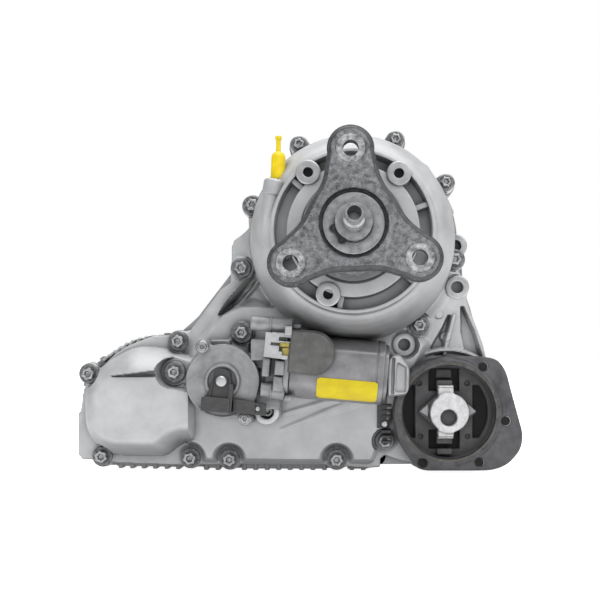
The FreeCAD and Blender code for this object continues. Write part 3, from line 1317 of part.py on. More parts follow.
def mountVoid(across, up, wide, tall):
    """An opening through the rubber, bounded by its lining."""
    piece = doc.addObject("Part::Common", "Void")
    piece.Base = rod("mountRing - rubberLining", "mountStart", "mountThick", *spot("mount"))
    piece.Tool = box(across, up, "mountStart", wide, tall, "mountThick")
    return piece


def coreForm(start, length):
    """Outline of the mount's core: a round boss with side wings and end tabs."""
    across, up = spot("mount")
    return joined(
        rod("coreRadius", start, length, across, up),
        slab([(f"{across} - coreWing", up), (across, f"{up} + coreWingTall"),
              (f"{across} + coreWing", up), (across, f"{up} - coreWingTall")], start, length),
        box(f"{across} - coreTabHalf", f"{up} - coreTabReach", start, "2 * coreTabHalf",
            "2 * coreTabReach", length))


def mount():
    """Rubber mount on the right: bracket, sleeve, rubber, core and side damper."""
    across, up = spot("mount")
    corners = [spot("mountCorner" + name) for name in ("Top", "Side", "Low", "Left")]
    cut(joined(slab(corners, "mountStart", "mountThick", "mountCornerRadius"),
               rod("mountRing + mountSleeve + mountShell", "mountStart", "mountThick", across, up)),
        rod("mountRing + mountSleeve", "mountStart", "mountThick", across, up),
        *[rod("boltShank + fitGap", "mountStart", "mountThick - mountBoltEnd", *at) for at in mountHoles],
        *[rod("mountBolt", "mountStart", "mountThick", *at) for at in mountHoles], label="mount_bracket")
    ring("mountRing + mountSleeve", "mountRing", "mountStart", "mountThick", across, up,
         label="mount_sleeve")
    cut(rod("mountRing", "mountStart", "mountThick", across, up), coreForm("mountStart", "mountThick"),
        mountVoid(f"{across} + sideVoidStart", f"{up} - sideVoidHalf", "mountRing", "2 * sideVoidHalf"),
        mountVoid(f"{across} - sideVoidStart - mountRing", f"{up} - sideVoidHalf", "mountRing",
                  "2 * sideVoidHalf"),
        mountVoid(f"{across} - endVoidHalf", f"{up} + endVoidStart", "2 * endVoidHalf", "mountRing"),
        mountVoid(f"{across} - endVoidHalf", f"{up} - endVoidStart - mountRing", "2 * endVoidHalf",
                  "mountRing"), label="mount_rubber")
    cut(coreForm("mountStart - coreInset", "mountThick + 2 * coreInset"),
        rod("coreBore", "mountStart - coreInset", "mountThick + 2 * coreInset", across, f"{up} - coreDrop"),
        label="mount_core")
    box("damperAcross", "damperUp", "coverFace", "damperWide", "damperTall",
        "damperDeep").Label = "mount_damper"


frontCase()
rearCase()
caseFasteners()
actuator()
motor()
positionSensor()
breather()
outputFlange()
mainShaft()
mainBalls = mainBearings()
clutch()
leversAndCam()
wormDrive()
smallBalls = idlerAndOutput()
group(*mainBalls, *smallBalls, label="bearing_balls")
mount()
doc.recompute()

failed = [item.Label for item in doc.Objects if "Invalid" in item.State or "Error" in item.State]
if failed:
    raise RuntimeError("These objects failed: " + ", ".join(failed))

os.makedirs("parts", exist_ok=True)
nodes = [item for item in doc.Objects if re.fullmatch(r"[a-z]+(_[a-z]+)+", item.Label)]
for item in nodes:
    shape = item.Shape
    if shape.isNull() or not shape.isValid():
        raise RuntimeError("This piece has no sound shape: " + item.Label)
    shape.exportStep("parts/" + item.Label + ".step")
print(len(nodes), "pieces written")
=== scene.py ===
import json
import math
import bmesh
import bpy
import numpy as np
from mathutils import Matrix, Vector


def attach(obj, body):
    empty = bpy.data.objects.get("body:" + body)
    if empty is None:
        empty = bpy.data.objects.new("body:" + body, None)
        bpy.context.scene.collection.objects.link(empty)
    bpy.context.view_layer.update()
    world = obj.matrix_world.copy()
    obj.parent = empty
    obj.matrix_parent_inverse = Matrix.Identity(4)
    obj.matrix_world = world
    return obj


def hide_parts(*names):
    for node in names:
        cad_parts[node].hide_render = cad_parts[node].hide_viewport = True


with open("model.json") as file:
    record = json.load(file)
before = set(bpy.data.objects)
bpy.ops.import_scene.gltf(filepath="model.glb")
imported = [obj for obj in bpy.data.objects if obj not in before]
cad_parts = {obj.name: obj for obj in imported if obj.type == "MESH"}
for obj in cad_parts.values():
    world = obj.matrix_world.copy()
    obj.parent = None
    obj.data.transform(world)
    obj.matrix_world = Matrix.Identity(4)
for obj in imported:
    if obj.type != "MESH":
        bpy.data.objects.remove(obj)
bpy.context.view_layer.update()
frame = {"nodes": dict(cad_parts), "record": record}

# A transfer case seen from its rear. The CAD nodes give the sizes, and the surfaces here give the
# castings their soft edges, the flange its forged face and the rubber mount its shape.
# Sizes are in millimetres as (across, depth, up): across is +X, up is +Z, and depth runs to -Y.

millimetre = 0.001


# A plane is (origin, u, v, w): the point of (a, b, c) is origin + a u + b v + c w.
def plane(origin=(0, 0, 0), u=(1, 0, 0), v=(0, 0, 1), w=(0, 1, 0)):
    return tuple(np.array(part, float) for part in (origin, u, v, w))


def put(on, a, b, c):
    a, b, c = np.broadcast_arrays(np.asarray(a, float), np.asarray(b, float), np.asarray(c, float))
    flat = [part.ravel()[:, None] for part in (a, b, c)]
    return on[0] + flat[0] * on[1] + flat[1] * on[2] + flat[2] * on[3]


rear = plane()


# The rear plane moved over a place (across, up) and turned by an angle in degrees.
def over(at, angle=0.0):
    turn = math.radians(angle)
    return plane((at[0], 0, at[1]), (math.cos(turn), 0, math.sin(turn)), (-math.sin(turn), 0, math.cos(turn)))


# A plane that starts at one place and runs to another, and the length between the two.
def towards(start, end):
    dx, dz = end[0] - start[0], end[1] - start[1]
    return over(start, math.degrees(math.atan2(dz, dx))), math.hypot(dx, dz)


# The place at a radius and an angle in degrees.
def polar(radius, angle, middle=(0, 0)):
    turn = math.radians(angle)
    return (middle[0] + radius * math.cos(turn), middle[1] + radius * math.sin(turn))


# Distance to a circle's edge, less than 0 inside: the length from the centre less the radius.
def circle(x, z, middle, radius):
    return np.hypot(x - middle[0], z - middle[1]) - radius


# Distance to a rod whose radius runs evenly from one end to the other.
def bar(x, z, start, end, radius, endRadius=None):
    dx, dz = end[0] - start[0], end[1] - start[1]
    t = np.clip(((x - start[0]) * dx + (z - start[1]) * dz) / max(dx * dx + dz * dz, 1e-9), 0, 1)
    grow = radius + ((radius if endRadius is None else endRadius) - radius) * t
    return np.hypot(x - start[0] - t * dx, z - start[1] - t * dz) - grow


# Distance to a polygon grown by a margin: the nearest side, less than 0 where a ray crosses
# the outline an odd number of times.
def polygon(x, z, corners, margin=0.0):
    nearest = np.full(np.shape(x), 1e9)
    inside = np.zeros(np.shape(x), bool)
    for (ax, az), (bx, bz) in zip(corners, corners[1:] + corners[:1]):
        nearest = np.minimum(nearest, bar(x, z, (ax, az), (bx, bz), 0))
        if az != bz:
            crosses = (az > z) != (bz > z)
            inside ^= crosses & (x < (bx - ax) * (z - az) / (bz - az) + ax)
    return np.where(inside, -nearest, nearest) - margin


# Rounded join of two fields: the smaller one, less a parabola where they are within a width.
def blendMin(a, b, width):
    h = np.clip(0.5 + 0.5 * (b - a) / width, 0, 1)
    return b + (a - b) * h - width * h * (1 - h)


def blendMax(a, b, width):
    return -blendMin(-a, -b, width)


# Goes from 0 to 1 as t does, level at both ends: 3 t^2 - 2 t^3.
def ease(t):
    t = np.clip(t, 0, 1)
    return t * t * (3 - 2 * t)


# A low form over a field: its full height well inside, and nothing where the field is above start
# times soft. Between the two it eases over a width of soft.
def mound(field, tall, soft, start=1.0):
    return tall * ease(start - field / soft)


# Flat triangles over closed loops of points.
def flatFill(points, edges):
    mesh = bpy.data.meshes.new("fill")
    mesh.from_pydata(np.column_stack([points, np.zeros(len(points))]).tolist(), edges.tolist(), [])
    work = bmesh.new()
    work.from_mesh(mesh)
    bmesh.ops.triangle_fill(work, edges=work.edges[:], use_beauty=False, normal=(0, 0, 1))
    work.to_mesh(mesh)
    work.free()
    corners = np.zeros(len(mesh.loops), int)
    mesh.loops.foreach_get("vertex_index", corners)
    bpy.data.meshes.remove(mesh)
    return corners.reshape(-1, 3)


# A plate over a grid of (a, b): cells whose middle has field < 0 stay, their rim moves on to
# field = 0 along the slope, and the face stands at face(a, b), less a quarter round at the rim.
# soft, backSoft: the quarter round of the face and of the back. light: a back with points only
# along the rim, which a hidden back is fine with.
def plate(low, high, step, field, face, back, soft=0.0, on=rear, light=False, backSoft=0.0):
    a, b = np.meshgrid(np.arange(low[0], high[0] + step, step),
                       np.arange(low[1], high[1] + step, step), indexing="ij")
    kept = field((a[:-1, :-1] + a[1:, 1:]) / 2, (b[:-1, :-1] + b[1:, 1:]) / 2) < 0
    around = np.zeros(a.shape, int)
    for da in (0, 1):
        for db in (0, 1):
            around[da:a.shape[0] - 1 + da, db:a.shape[1] - 1 + db] += kept
    used, rim = around > 0, (around > 0) & (around < 4)
    ra, rb = a[rim], b[rim]
    tiny = 0.02
    for _ in range(4):
        value = field(ra, rb)
        slopeA = (field(ra + tiny, rb) - value) / tiny
        slopeB = (field(ra, rb + tiny) - value) / tiny
        move = np.clip(value / np.maximum(slopeA ** 2 + slopeB ** 2, 0.05), -step, step)
        ra, rb = ra - move * slopeA, rb - move * slopeB
    a[rim], b[rim] = ra, rb
    index = np.full(a.shape, -1)
    index[used] = np.arange(used.sum())
    cells = np.argwhere(kept)
    i, j = cells[:, 0], cells[:, 1]
    front = np.column_stack([index[i, j], index[i + 1, j], index[i + 1, j + 1], index[i, j + 1]])
    pa, pb = a[used], b[used]
    near = field(pa, pb)
    height = face(pa, pb) * np.ones_like(pa)
    if soft:
        t = np.clip(soft + near, 0, soft)
        height = height - soft + np.sqrt(soft * soft - t * t)
    padded = np.pad(kept, 1)
    edges = []
    for di, dj in ((1, 0), (0, 1)):  # an edge is on the rim where just one of its two cells stays
        here = padded[1:, 1:]
        other = padded[1:, :-1] if di else padded[:-1, 1:]
        ei, ej = np.nonzero(here[:a.shape[0] - di, :a.shape[1] - dj]
                            != other[:a.shape[0] - di, :a.shape[1] - dj])
        edges.append(np.column_stack([index[ei, ej], index[ei + di, ej + dj]]))
    edges = np.vstack(edges)
    count = len(pa)
    if light:
        rimNames = np.unique(edges)
        place = np.full(count, -1)
        place[rimNames] = np.arange(len(rimNames))
        base = put(on, pa[rimNames], pb[rimNames], back)
        bottom = flatFill(np.column_stack([pa[rimNames], pb[rimNames]]), place[edges])
        walls = np.column_stack([edges, place[edges[:, ::-1]] + count])
        return np.vstack([put(on, pa, pb, height), base]), [front, walls, bottom + count]
    under = back + np.zeros_like(pa)
    if backSoft:
        t = np.clip(backSoft + near, 0, backSoft)
        under = under + backSoft - np.sqrt(backSoft * backSoft - t * t)
    walls = np.column_stack([edges, edges[:, ::-1] + count])
    return (np.vstack([put(on, pa, pb, height), put(on, pa, pb, under)]),
            [front, walls, front + count])


# Corners of an open or closed run of points turned into short parabolas.
def rounded(points, radius, closed=False, steps=4):
    points = [np.array(point[:2], float) for point in points]
    radii = radius if isinstance(radius, (list, tuple)) else [radius] * len(points)
    result = []
    for number, point in enumerate(points):
        if not closed and number in (0, len(points) - 1):
            result.append(point)
            continue
        before, after = points[number - 1], points[(number + 1) % len(points)]
        toBefore, toAfter = before - point, after - point
        reach = min(radii[number], np.linalg.norm(toBefore) / 2, np.linalg.norm(toAfter) / 2)
        if reach < 0.02:
            result.append(point)
            continue
        start = point + toBefore / np.linalg.norm(toBefore) * reach
        end = point + toAfter / np.linalg.norm(toAfter) * reach
        for t in np.linspace(0, 1, steps + 1):
            result.append((1 - t) ** 2 * start + 2 * t * (1 - t) * point + t * t * end)
    return np.array(result)


# A profile of (radius, height) carried round an axis: (r cos t, r sin t, h), with the radius
# scaled by shape(t, h) where the section isn't round.
def turned(profile, on=rear, steps=96, shape=None, closed=False):
    profile = np.asarray(profile, float)
    turn = np.linspace(0, 2 * math.pi, steps, endpoint=False)
    radius = profile[:, 0][:, None] * np.ones(steps)
    height = profile[:, 1][:, None] * np.ones(steps)
    if shape is not None:
        radius = radius * shape(turn[None, :], height)
    points = put(on, radius * np.cos(turn), radius * np.sin(turn), height)
    rows = np.arange(len(profile) if closed else len(profile) - 1)[:, None]
    nextRows = (rows + 1) % len(profile)
    columns = np.arange(steps)[None, :]
    nextColumns = (columns + 1) % steps
    faces = np.stack([rows * steps + columns, rows * steps + nextColumns,
                      nextRows * steps + nextColumns, nextRows * steps + columns], -1)
    return points, [faces.reshape(-1, 4)]


# A closed outline carried from one height to another, drawn in by quarter rounds at the ends.
def prism(outline, start, end, soft=0.6, on=rear, startSoft=0.0, steps=4):
    outline = np.asarray(outline, float)
    ahead, behind = np.roll(outline, -1, 0), np.roll(outline, 1, 0)
    along = ahead - behind
    along /= np.maximum(np.linalg.norm(along, axis=1, keepdims=True), 1e-9)
    outwards = np.column_stack([along[:, 1], -along[:, 0]])
    area = np.sum(outline[:, 0] * ahead[:, 1] - ahead[:, 0] * outline[:, 1])
    if area < 0:
        outwards = -outwards
    sign = 1 if end > start else -1
    levels = []
    if startSoft:
        levels += [(startSoft * (1 - math.sin(t)), start + sign * startSoft * (1 - math.cos(t)))
                   for t in np.linspace(0, math.pi / 2, steps + 1)]
    else:
        levels.append((0, start))
    if soft:
        levels += [(soft * (1 - math.cos(t)), end - sign * soft * (1 - math.sin(t)))
                   for t in np.linspace(0, math.pi / 2, steps + 1)]
        levels.append((soft + 0.2, end))  # keeps the shading of the end face flat
    else:
        levels.append((0, end))
    inset = np.array([level[0] for level in levels])[:, None, None]
    ring = outline[None] - inset * outwards[None]
    steady = np.roll(outline, -1, 0) - outline
    for _ in range(6):  # where an edge turns over as the outline draws in, its ends are joined
        turnedOver = np.sum((np.roll(ring, -1, 1) - ring) * steady[None], -1) < 0
        middle = (np.roll(ring, -1, 1) + ring) / 2
        before = np.roll(turnedOver, 1, 1)
        ring = np.where(before[..., None], np.roll(middle, 1, 1), ring)
        ring = np.where(turnedOver[..., None], middle, ring)
    height = np.array([level[1] for level in levels])[:, None] * np.ones(len(outline))
    points = put(on, ring[..., 0], ring[..., 1], height)
    count = len(outline)
    rows = np.arange(len(levels) - 1)[:, None]
    columns = np.arange(count)[None, :]
    following = (columns + 1) % count
    walls = np.stack([rows * count + columns, rows * count + following,
                      (rows + 1) * count + following, (rows + 1) * count + columns], -1)
    first = np.arange(count)[None, ::-1]
    return points, [walls.reshape(-1, 4), first, np.arange(count)[None, :] + (len(levels) - 1) * count]


def rectangle(left, right, low, high, radius=0.8):
    return rounded([(left, low), (right, low), (right, high), (left, high)], radius, closed=True, steps=3)


# A turned form over a place, from corners (radius, depth) that are each rounded by their own radius.
def spun(corners, radii, at=(0, 0), steps=48, closed=False):
    return turned(rounded(corners, radii, closed=closed), over(at), steps, closed=closed)


# A dark disc a little inside a bore, with a faintly sunk end: painted shade for the depth of the bore.
def boreEnd(at, radius, start, end, sunk):
    return spun([(0, start), (radius, start), (radius, end), (0, end - sunk)], 0, at, 24)


sharpAngle = 33  # degrees between two faces from which their edge stays sharp
weldWidth = 2e-6  # metres within which two points become one


# Closed shells joined in one mesh that rides on a body, with its faces turned outwards.
def makePiece(name, material, shells, replaced=(), body="casing"):
    points = np.vstack([shell[0] for shell in shells])
    corners, totals, offset = [], [], 0
    for shellPoints, groups in shells:
        for group in groups:
            corners.append(group.ravel() + offset)
            totals.append(np.full(len(group), group.shape[1]))
        offset += len(shellPoints)
    corners, totals = np.concatenate(corners), np.concatenate(totals)
    points = points * [1, -1, 1] * millimetre
    mesh = bpy.data.meshes.new(name)
    mesh.vertices.add(len(points))
    mesh.vertices.foreach_set("co", points.ravel())
    mesh.loops.add(len(corners))
    mesh.loops.foreach_set("vertex_index", corners)
    mesh.polygons.add(len(totals))
    mesh.polygons.foreach_set("loop_start", np.concatenate([[0], np.cumsum(totals)[:-1]]))
    mesh.polygons.foreach_set("loop_total", totals)
    mesh.update(calc_edges=True)
    work = bmesh.new()
    work.from_mesh(mesh)
    bmesh.ops.remove_doubles(work, verts=work.verts[:], dist=weldWidth)
    bmesh.ops.recalc_face_normals(work, faces=work.faces[:])
    work.to_mesh(mesh)
    work.free()
    mesh.shade_smooth()
    mesh.set_sharp_from_angle(angle=math.radians(sharpAngle))
    piece = bpy.data.objects.new(name, mesh)
    bpy.context.scene.collection.objects.link(piece)
    piece.data.materials.append(material)
    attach(piece, body)
    if replaced:
        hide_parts(*replaced)
    return piece


# One sRGB hex colour as linear light: below 0.04045 it is divided by 12.92, above it goes
# through ((c + 0.055) / 1.055) to the power 2.4.
def linear(code):
    parts = [int(code[at:at + 2], 16) / 255 for at in (0, 2, 4)]
    return tuple(c / 12.92 if c <= 0.04045 else ((c + 0.055) / 1.055) ** 2.4 for c in parts) + (1,)


def addNode(tree, kind, values=None, links=None, **settings):
    node = tree.nodes.new(kind)
    for name, value in settings.items():
        setattr(node, name, value)
    for socket, value in (values or {}).items():
        node.inputs[socket].default_value = value
    for socket, source in (links or {}).items():
        tree.links.new(source, node.inputs[socket])
    return node


# A source's value carried from one range to another.
def ramp(tree, source, fromLow, fromHigh, toLow=0.0, toHigh=1.0):
    values = {1: fromLow, 2: fromHigh, 3: toLow, 4: toHigh}
    return addNode(tree, "ShaderNodeMapRange", values, {0: source}).outputs[0]


# A colour that goes over to a hex colour as the factor goes from 0 to 1.
def tinted(tree, factor, colour, code):
    mixed = addNode(tree, "ShaderNodeMix", {7: linear(code)}, {0: factor, 6: colour}, data_type="RGBA")
    return mixed.outputs[2]


# Near-black tones of the painted shade: in corners and creases, and on faces that look down.
tones = {"cornerShade": "161615", "undersideShade": "222221"}


# A finish with mottling, a fine grain in the bump and the roughness, painted shade in the corners,
# and painted shade on the faces that look down. light, dark: hex colours of the mottling, in patches
# of patch mm. grain: mm between the bumps, and relief their height in mm. spread: how far the roughness
# strays. cornerShade: how dark the painted shade in the corners goes within reach mm. speck: how strong
# the grain's dark specks are. edge: mm of soft light on the edges. coat: a clear layer. undersideShade:
# how dark the painted shade makes the faces that look down.
def finish(name, light, dark, metallic, roughness, patch=12.0, grain=0.9, relief=0.05, spread=0.06,
           cornerShade=0.45, reach=5.0, speck=0.0, speckColour="202020", edge=0.35, coat=0.0, undersideShade=0.0):
    material = bpy.data.materials.new(name)
    material.use_nodes = True
    tree = material.node_tree
    tree.nodes.clear()
    where = addNode(tree, "ShaderNodeTexCoord")
    place = where.outputs["Object"]
    patches = addNode(tree, "ShaderNodeTexNoise", {"Scale": 1 / (patch * millimetre), "Detail": 5.0,
                                                   "Roughness": 0.6}, {"Vector": place}).outputs[0]
    fine = addNode(tree, "ShaderNodeTexNoise", {"Scale": 1 / (grain * millimetre), "Detail": 3.0},
                   {"Vector": place}).outputs[0]
    colour = addNode(tree, "ShaderNodeMix", {6: linear(dark), 7: linear(light)},
                     {0: ramp(tree, patches, 0.32, 0.68)}, data_type="RGBA").outputs[2]
    if speck:
        colour = tinted(tree, ramp(tree, fine, 0.56, 0.7, 0.0, speck), colour, speckColour)
    # Painted shade: the colour darkens towards near-black where ambient occlusion finds corners and creases.
    if cornerShade:
        corner = addNode(tree, "ShaderNodeAmbientOcclusion", {"Distance": reach * millimetre}, samples=4)
        paintedCornerShade = ramp(tree, corner.outputs["AO"], 0.35, 0.95, cornerShade, 0.0)
        colour = tinted(tree, paintedCornerShade, colour, tones["cornerShade"])
    # Painted shade: faces whose normal points down are darkened, standing in for the light from above that
    # misses them.
    if undersideShade:
        facing = addNode(tree, "ShaderNodeSeparateXYZ", links={0: where.outputs["Normal"]})
        colour = tinted(tree, ramp(tree, facing.outputs[2], -0.2, -0.85, 0.0, undersideShade), colour, tones["undersideShade"])
    rough = ramp(tree, patches, 0.3, 0.7, roughness - spread, roughness + spread)
    shader = addNode(tree, "ShaderNodeBsdfPrincipled",
                     {"Metallic": metallic, "Coat Weight": coat, "Coat Roughness": 0.25},
                     {"Base Color": colour, "Roughness": rough})
    soft = addNode(tree, "ShaderNodeBevel", {"Radius": edge * millimetre}, samples=3)
    bump = addNode(tree, "ShaderNodeBump", {"Strength": 1.0, "Distance": relief * millimetre},
                   {"Height": fine, "Normal": soft.outputs[0]})
    tree.links.new(bump.outputs[0], shader.inputs["Normal"])
    out = addNode(tree, "ShaderNodeOutputMaterial", links={"Surface": shader.outputs[0]})
    out.is_active_output = True
    return material


# Die-cast aluminium, shot-blasted: pale satin with a fine grain and soft grey patches, and painted shade on
# the faces that look down.
castSkin = finish("die_cast_aluminium_blasted", "C6C7C8", "B1B2B4", 0.5, 0.56, patch=18, relief=0.05,
                  cornerShade=0.52, reach=6.0, undersideShade=0.5)
# Die-cast aluminium as it leaves the mould: a little darker and rougher, for the front half.
castFront = finish("die_cast_aluminium_raw", "AEAFB1", "9C9D9F", 0.6, 0.5, patch=20, relief=0.07,
                   cornerShade=0.45, reach=5.0)
# The actuator's castings: greyer, with a duller skin.
castGrey = finish("die_cast_aluminium_grey", "A3A4A6", "88898B", 0.6, 0.5, patch=8, relief=0.08,
                  cornerShade=0.66, reach=6.0, speck=0.12, speckColour="5A5B5C")
# Machined aluminium: brighter and smoother, for faces that a cutter has passed over.
milled = finish("milled_aluminium", "C9CACB", "AEAFB1", 0.8, 0.34, patch=9, relief=0.015, spread=0.04,
                cornerShade=0.7, reach=6.0)
# Forged steel, oiled and speckled with dust, for the output flange.
forged = finish("forged_steel_oiled", "989A9C", "58595B", 0.7, 0.5, patch=3.0, grain=0.8, relief=0.14,
                speck=0.85, speckColour="2E2F30", spread=0.1, cornerShade=0.6, reach=6.0)
# The same forging in a darker tone, for a band along the rim of the arms.
forgedDark = finish("forged_steel_dark_rim", "5E5F61", "444547", 0.6, 0.5, patch=4, grain=0.8, relief=0.12,
                    speck=0.5, speckColour="26272A", cornerShade=0.5)
# Spot-faced steel on the flange's arms: lighter, with the same specks.
spotted = finish("spot_faced_steel", "D2D3D4", "77787A", 0.75, 0.4, patch=3.0, grain=0.9, relief=0.1,
                 speck=0.75, speckColour="4A4B4C", cornerShade=0.4)
# Ground shaft steel, with a bright turned sheen.
ground = finish("ground_steel", "BDBEC0", "9C9D9F", 0.9, 0.3, patch=5, relief=0.01, speck=0.12,
                cornerShade=0.75, reach=5.0)
# Zinc-plated steel of the screws: mid grey with a faint cloud.
zinc = finish("zinc_plated_steel", "C2C3C4", "8A8B8D", 0.9, 0.36, patch=3, relief=0.02, cornerShade=0.6, reach=3.0)
# The same plating in a darker tone, for the washers under the screws' heads.
zincDarker = finish("zinc_plated_steel_darker", "939496", "5C5D5F", 0.75, 0.5, patch=3, relief=0.04,
                     cornerShade=0.6, reach=3.0)
# Painted shade: a near-black stand-in for the bottom of a deep bore, which little light reaches.
boreShade = finish("shaded_bore", "1C1C1C", "111111", 0.2, 0.8, patch=4, relief=0.01, cornerShade=0.3)
# Hardened and machined steels of the inner parts.
gearSteel = finish("case_hardened_steel", "8F8D8A", "6D6B69", 1.0, 0.36, patch=10, relief=0.02)
raceSteel = finish("polished_bearing_steel", "B0AFAD", "959492", 1.0, 0.2, patch=10, relief=0.004)
springSteel = finish("spring_steel", "4A4B4C", "343536", 0.95, 0.36, patch=5, relief=0.02)
plugSteel = finish("phosphated_steel", "6B6966", "504E4C", 0.8, 0.5, patch=5, relief=0.04)
bronze = finish("sintered_bronze", "A8824E", "8A683C", 0.95, 0.4, patch=6, relief=0.03)
lining = finish("paper_friction_lining", "4A3A2C", "38291F", 0.0, 0.85, patch=3, relief=0.08)
copper = finish("enamelled_copper_wire", "A4622F", "7E4520", 0.9, 0.3, patch=3, grain=0.6, relief=0.1)
ferrite = finish("sintered_ferrite", "3A393A", "2B2A2B", 0.1, 0.6, patch=5, relief=0.03)
# Moulded natural rubber with a dusty bloom, for the mount.
rubber = finish("moulded_rubber", "525254", "3B3B3D", 0.0, 0.62, patch=9, grain=1.2, relief=0.08,
                spread=0.1, cornerShade=0.75, reach=7.0)
# Glass-filled nylon, black, moulded: the sensor.
nylon = finish("black_glass_filled_nylon", "3C3C3E", "2A2A2B", 0.0, 0.36, patch=6, relief=0.06, cornerShade=0.6,
               coat=0.3)
# Cast iron under charcoal dip coating, for the mount's bracket.
charcoal = finish("charcoal_dip_coated_iron", "5E5E61", "404042", 0.25, 0.5, patch=11, grain=1.1,
                  relief=0.14, spread=0.1, speck=0.25, cornerShade=0.6, reach=6.0)
# Aluminium core of the mount, blasted and speckled.
coreSkin = finish("blasted_aluminium_core", "DEDEDF", "BDBDBF", 0.7, 0.5, patch=4, grain=1.1,
                  relief=0.08, speck=0.3, speckColour="8A8987")
# Motor can: deep-drawn steel with a dull nickel plate.
canSteel = finish("nickel_plated_can", "9C9B9E", "7F7E81", 0.8, 0.36, patch=14, relief=0.02, cornerShade=0.6)
# Grey moulded plug cover of the motor.
plugGrey = finish("grey_moulded_cover", "6A6A69", "545453", 0.2, 0.5, patch=7, relief=0.03)
# Blank self-adhesive film, satin, with faint pressure marks.
labelFilm = finish("yellow_label_film", "D8C400", "C9B200", 0.0, 0.5, patch=9, relief=0.02, cornerShade=0.2)
# Moulded yellow polyamide of the breather cap.
yellowPlastic = finish("yellow_polyamide", "F2D800", "E4C600", 0.0, 0.4, patch=5, relief=0.02, cornerShade=0.3)
# The same plastic, aged and greasy, inside the motor's plug.
agedYellow = finish("aged_yellow_polyamide", "BDAE52", "93883F", 0.0, 0.5, patch=2, relief=0.03, cornerShade=0.6)
print("materials made:", len(bpy.data.materials))

slotFinish = {
    "cast_case": castFront, "cast_cover": castSkin, "zinc_fastener": zinc, "plug_steel": plugSteel,
    "flange_steel": forged, "ground_steel": ground, "gear_steel": gearSteel, "race_steel": raceSteel,
    "spring_steel": springSteel, "bronze": bronze, "friction_lining": lining, "black_rubber": rubber,
    "black_plastic": nylon, "yellow_plastic": yellowPlastic, "motor_steel": canSteel,
    "magnet_ferrite": ferrite, "copper_winding": copper, "label_film": labelFilm,
    "plug_cover_grey": plugGrey, "charcoal_bracket": charcoal, "core_aluminium": coreSkin}
nodeSlots = {}
for part in frame["record"]["subparts"]:
    nodeSlots[part["node"]] = part["material_slot"]
for name, item in frame["nodes"].items():
    chosen = slotFinish.get(nodeSlots.get(name), castFront)
    item.data.materials.clear()
    item.data.materials.append(chosen)
print("nodes dressed:", len(frame["nodes"]))

# Bolts of the case and what stands round them, as (across, up)
bolts = {"A": (-196.1, -99.2), "B": (-186.4, -160.6), "C": (-120.8, -161.9), "D": (-129.7, -74.9),
         "E": (-91.5, -162.9), "F": (-11.8, -163.1), "G": (24, -149), "H": (49.7, -63),
         "I": (76.1, -14), "J": (-82.9, -20.5), "K": (-74.4, 26.1)}
ring = {"pitch": 82, "turns": (32, 67, 119)}
ringBolts = {"ring" + str(turn): polar(ring["pitch"], turn) for turn in ring["turns"]}
bolts.update(ringBolts)
lugs = [(76.8, -3.6), (78.4, -34.5), (38.6, -77.5)]
control = (-92, -103.5)
mountMiddle = (70.2, -127)
shaftAxis = (0, 0)

# Rear cover: its outline, the flat rim at faceDepth, the lobe over the front output, the belly
# over the levers and the small strut beside the dome
cover = {"faceDepth": 90, "parting": 80, "step": 0.7, "rimSoft": 1.6, "boltFoot": 8.2, "ringFoot": 7,
         "lugFoot": 9, "lugHole": 4.6, "join": 1.5, "domeHole": 70, "mountHole": 38, "domeFoot": 77,
         "bellyTall": 9, "hollow": 11, "land": 2, "landWide": 2.5, "notch": 10.4, "notchSeat": 15.2,
         "notchWide": 2.4, "notchTall": 20, "domeRoot": 7, "domeRootWide": 9, "boltRoom": 8,
         "boltRoomTall": 26, "lugRoom": 9.4, "lugRoomWide": 1.6, "lugRoomTall": 10}
coverOutline = [
    (-77.6, 17.4), (-77, 9.1), (-85, 3.4), (-88.5, 1), (-90.5, -4), (-90.6, -17.6), (-91.6, -31),
    (-99.2, -36.6), (-117.1, -60.5), (-121.6, -66.5), (-137.8, -70.4), (-149.2, -70.8), (-163, -76.1),
    (-170.3, -79.3), (-177.6, -84.2), (-182.4, -88.7), (-199.5, -107.7), (-201.5, -111), (-202.7, -119.9),
    (-204, -127.5), (-205.6, -128.8), (-205.6, -159.7), (-202.7, -163.3), (-194.6, -163.7),
    (-178.4, -166.1), (-129.7, -167.8), (-82.3, -167), (-19.8, -167.6), (2.6, -169.6), (10.5, -170.1),
    (20.5, -169.1), (21, -162.8), (24.1, -160.4), (34, -164), (52, -168), (93, -168), (100, -150),
    (105, -120), (99.9, -86), (97.3, -76), (87.8, -51.2), (85.5, -42.7), (86.2, -36.4), (84.7, -31.2),
    (79.7, -21.8), (82.4, -15.5), (82.1, -8.6), (84.2, -3.3), (80, 3), (75.3, 4.6), (74.2, 16.1),
    (75.5, 21.4), (70.8, 30.8), (56, 56), (20, 76), (-20, 76), (-56, 56)]
belly = [(-119, -160.5), (12, -161.5), (24, -134), (40, -108), (52, -78), (-30, -20), (-58, -50),
         (-72.5, -49), (-82, -50.3), (-96, -56), (-119, -86)]
actuatorBolts = [(-80.9, -68.9), (-129.9, -97.6), (-61.9, -125.7)]


def coverField(x, z):
    field = polygon(x, z, coverOutline)
    for name, at in bolts.items():
        foot = cover["ringFoot"] if name in ringBolts else cover["boltFoot"]
        field = blendMin(field, circle(x, z, at, foot), cover["join"])
    for at in lugs:
        field = blendMin(field, circle(x, z, at, cover["lugFoot"]), cover["join"])
    field = blendMax(field, -circle(x, z, shaftAxis, cover["domeHole"]), 0.5)
    for at in lugs:
        field = np.maximum(field, -circle(x, z, at, cover["lugHole"]))
    return np.maximum(field, -circle(x, z, mountMiddle, cover["mountHole"]))


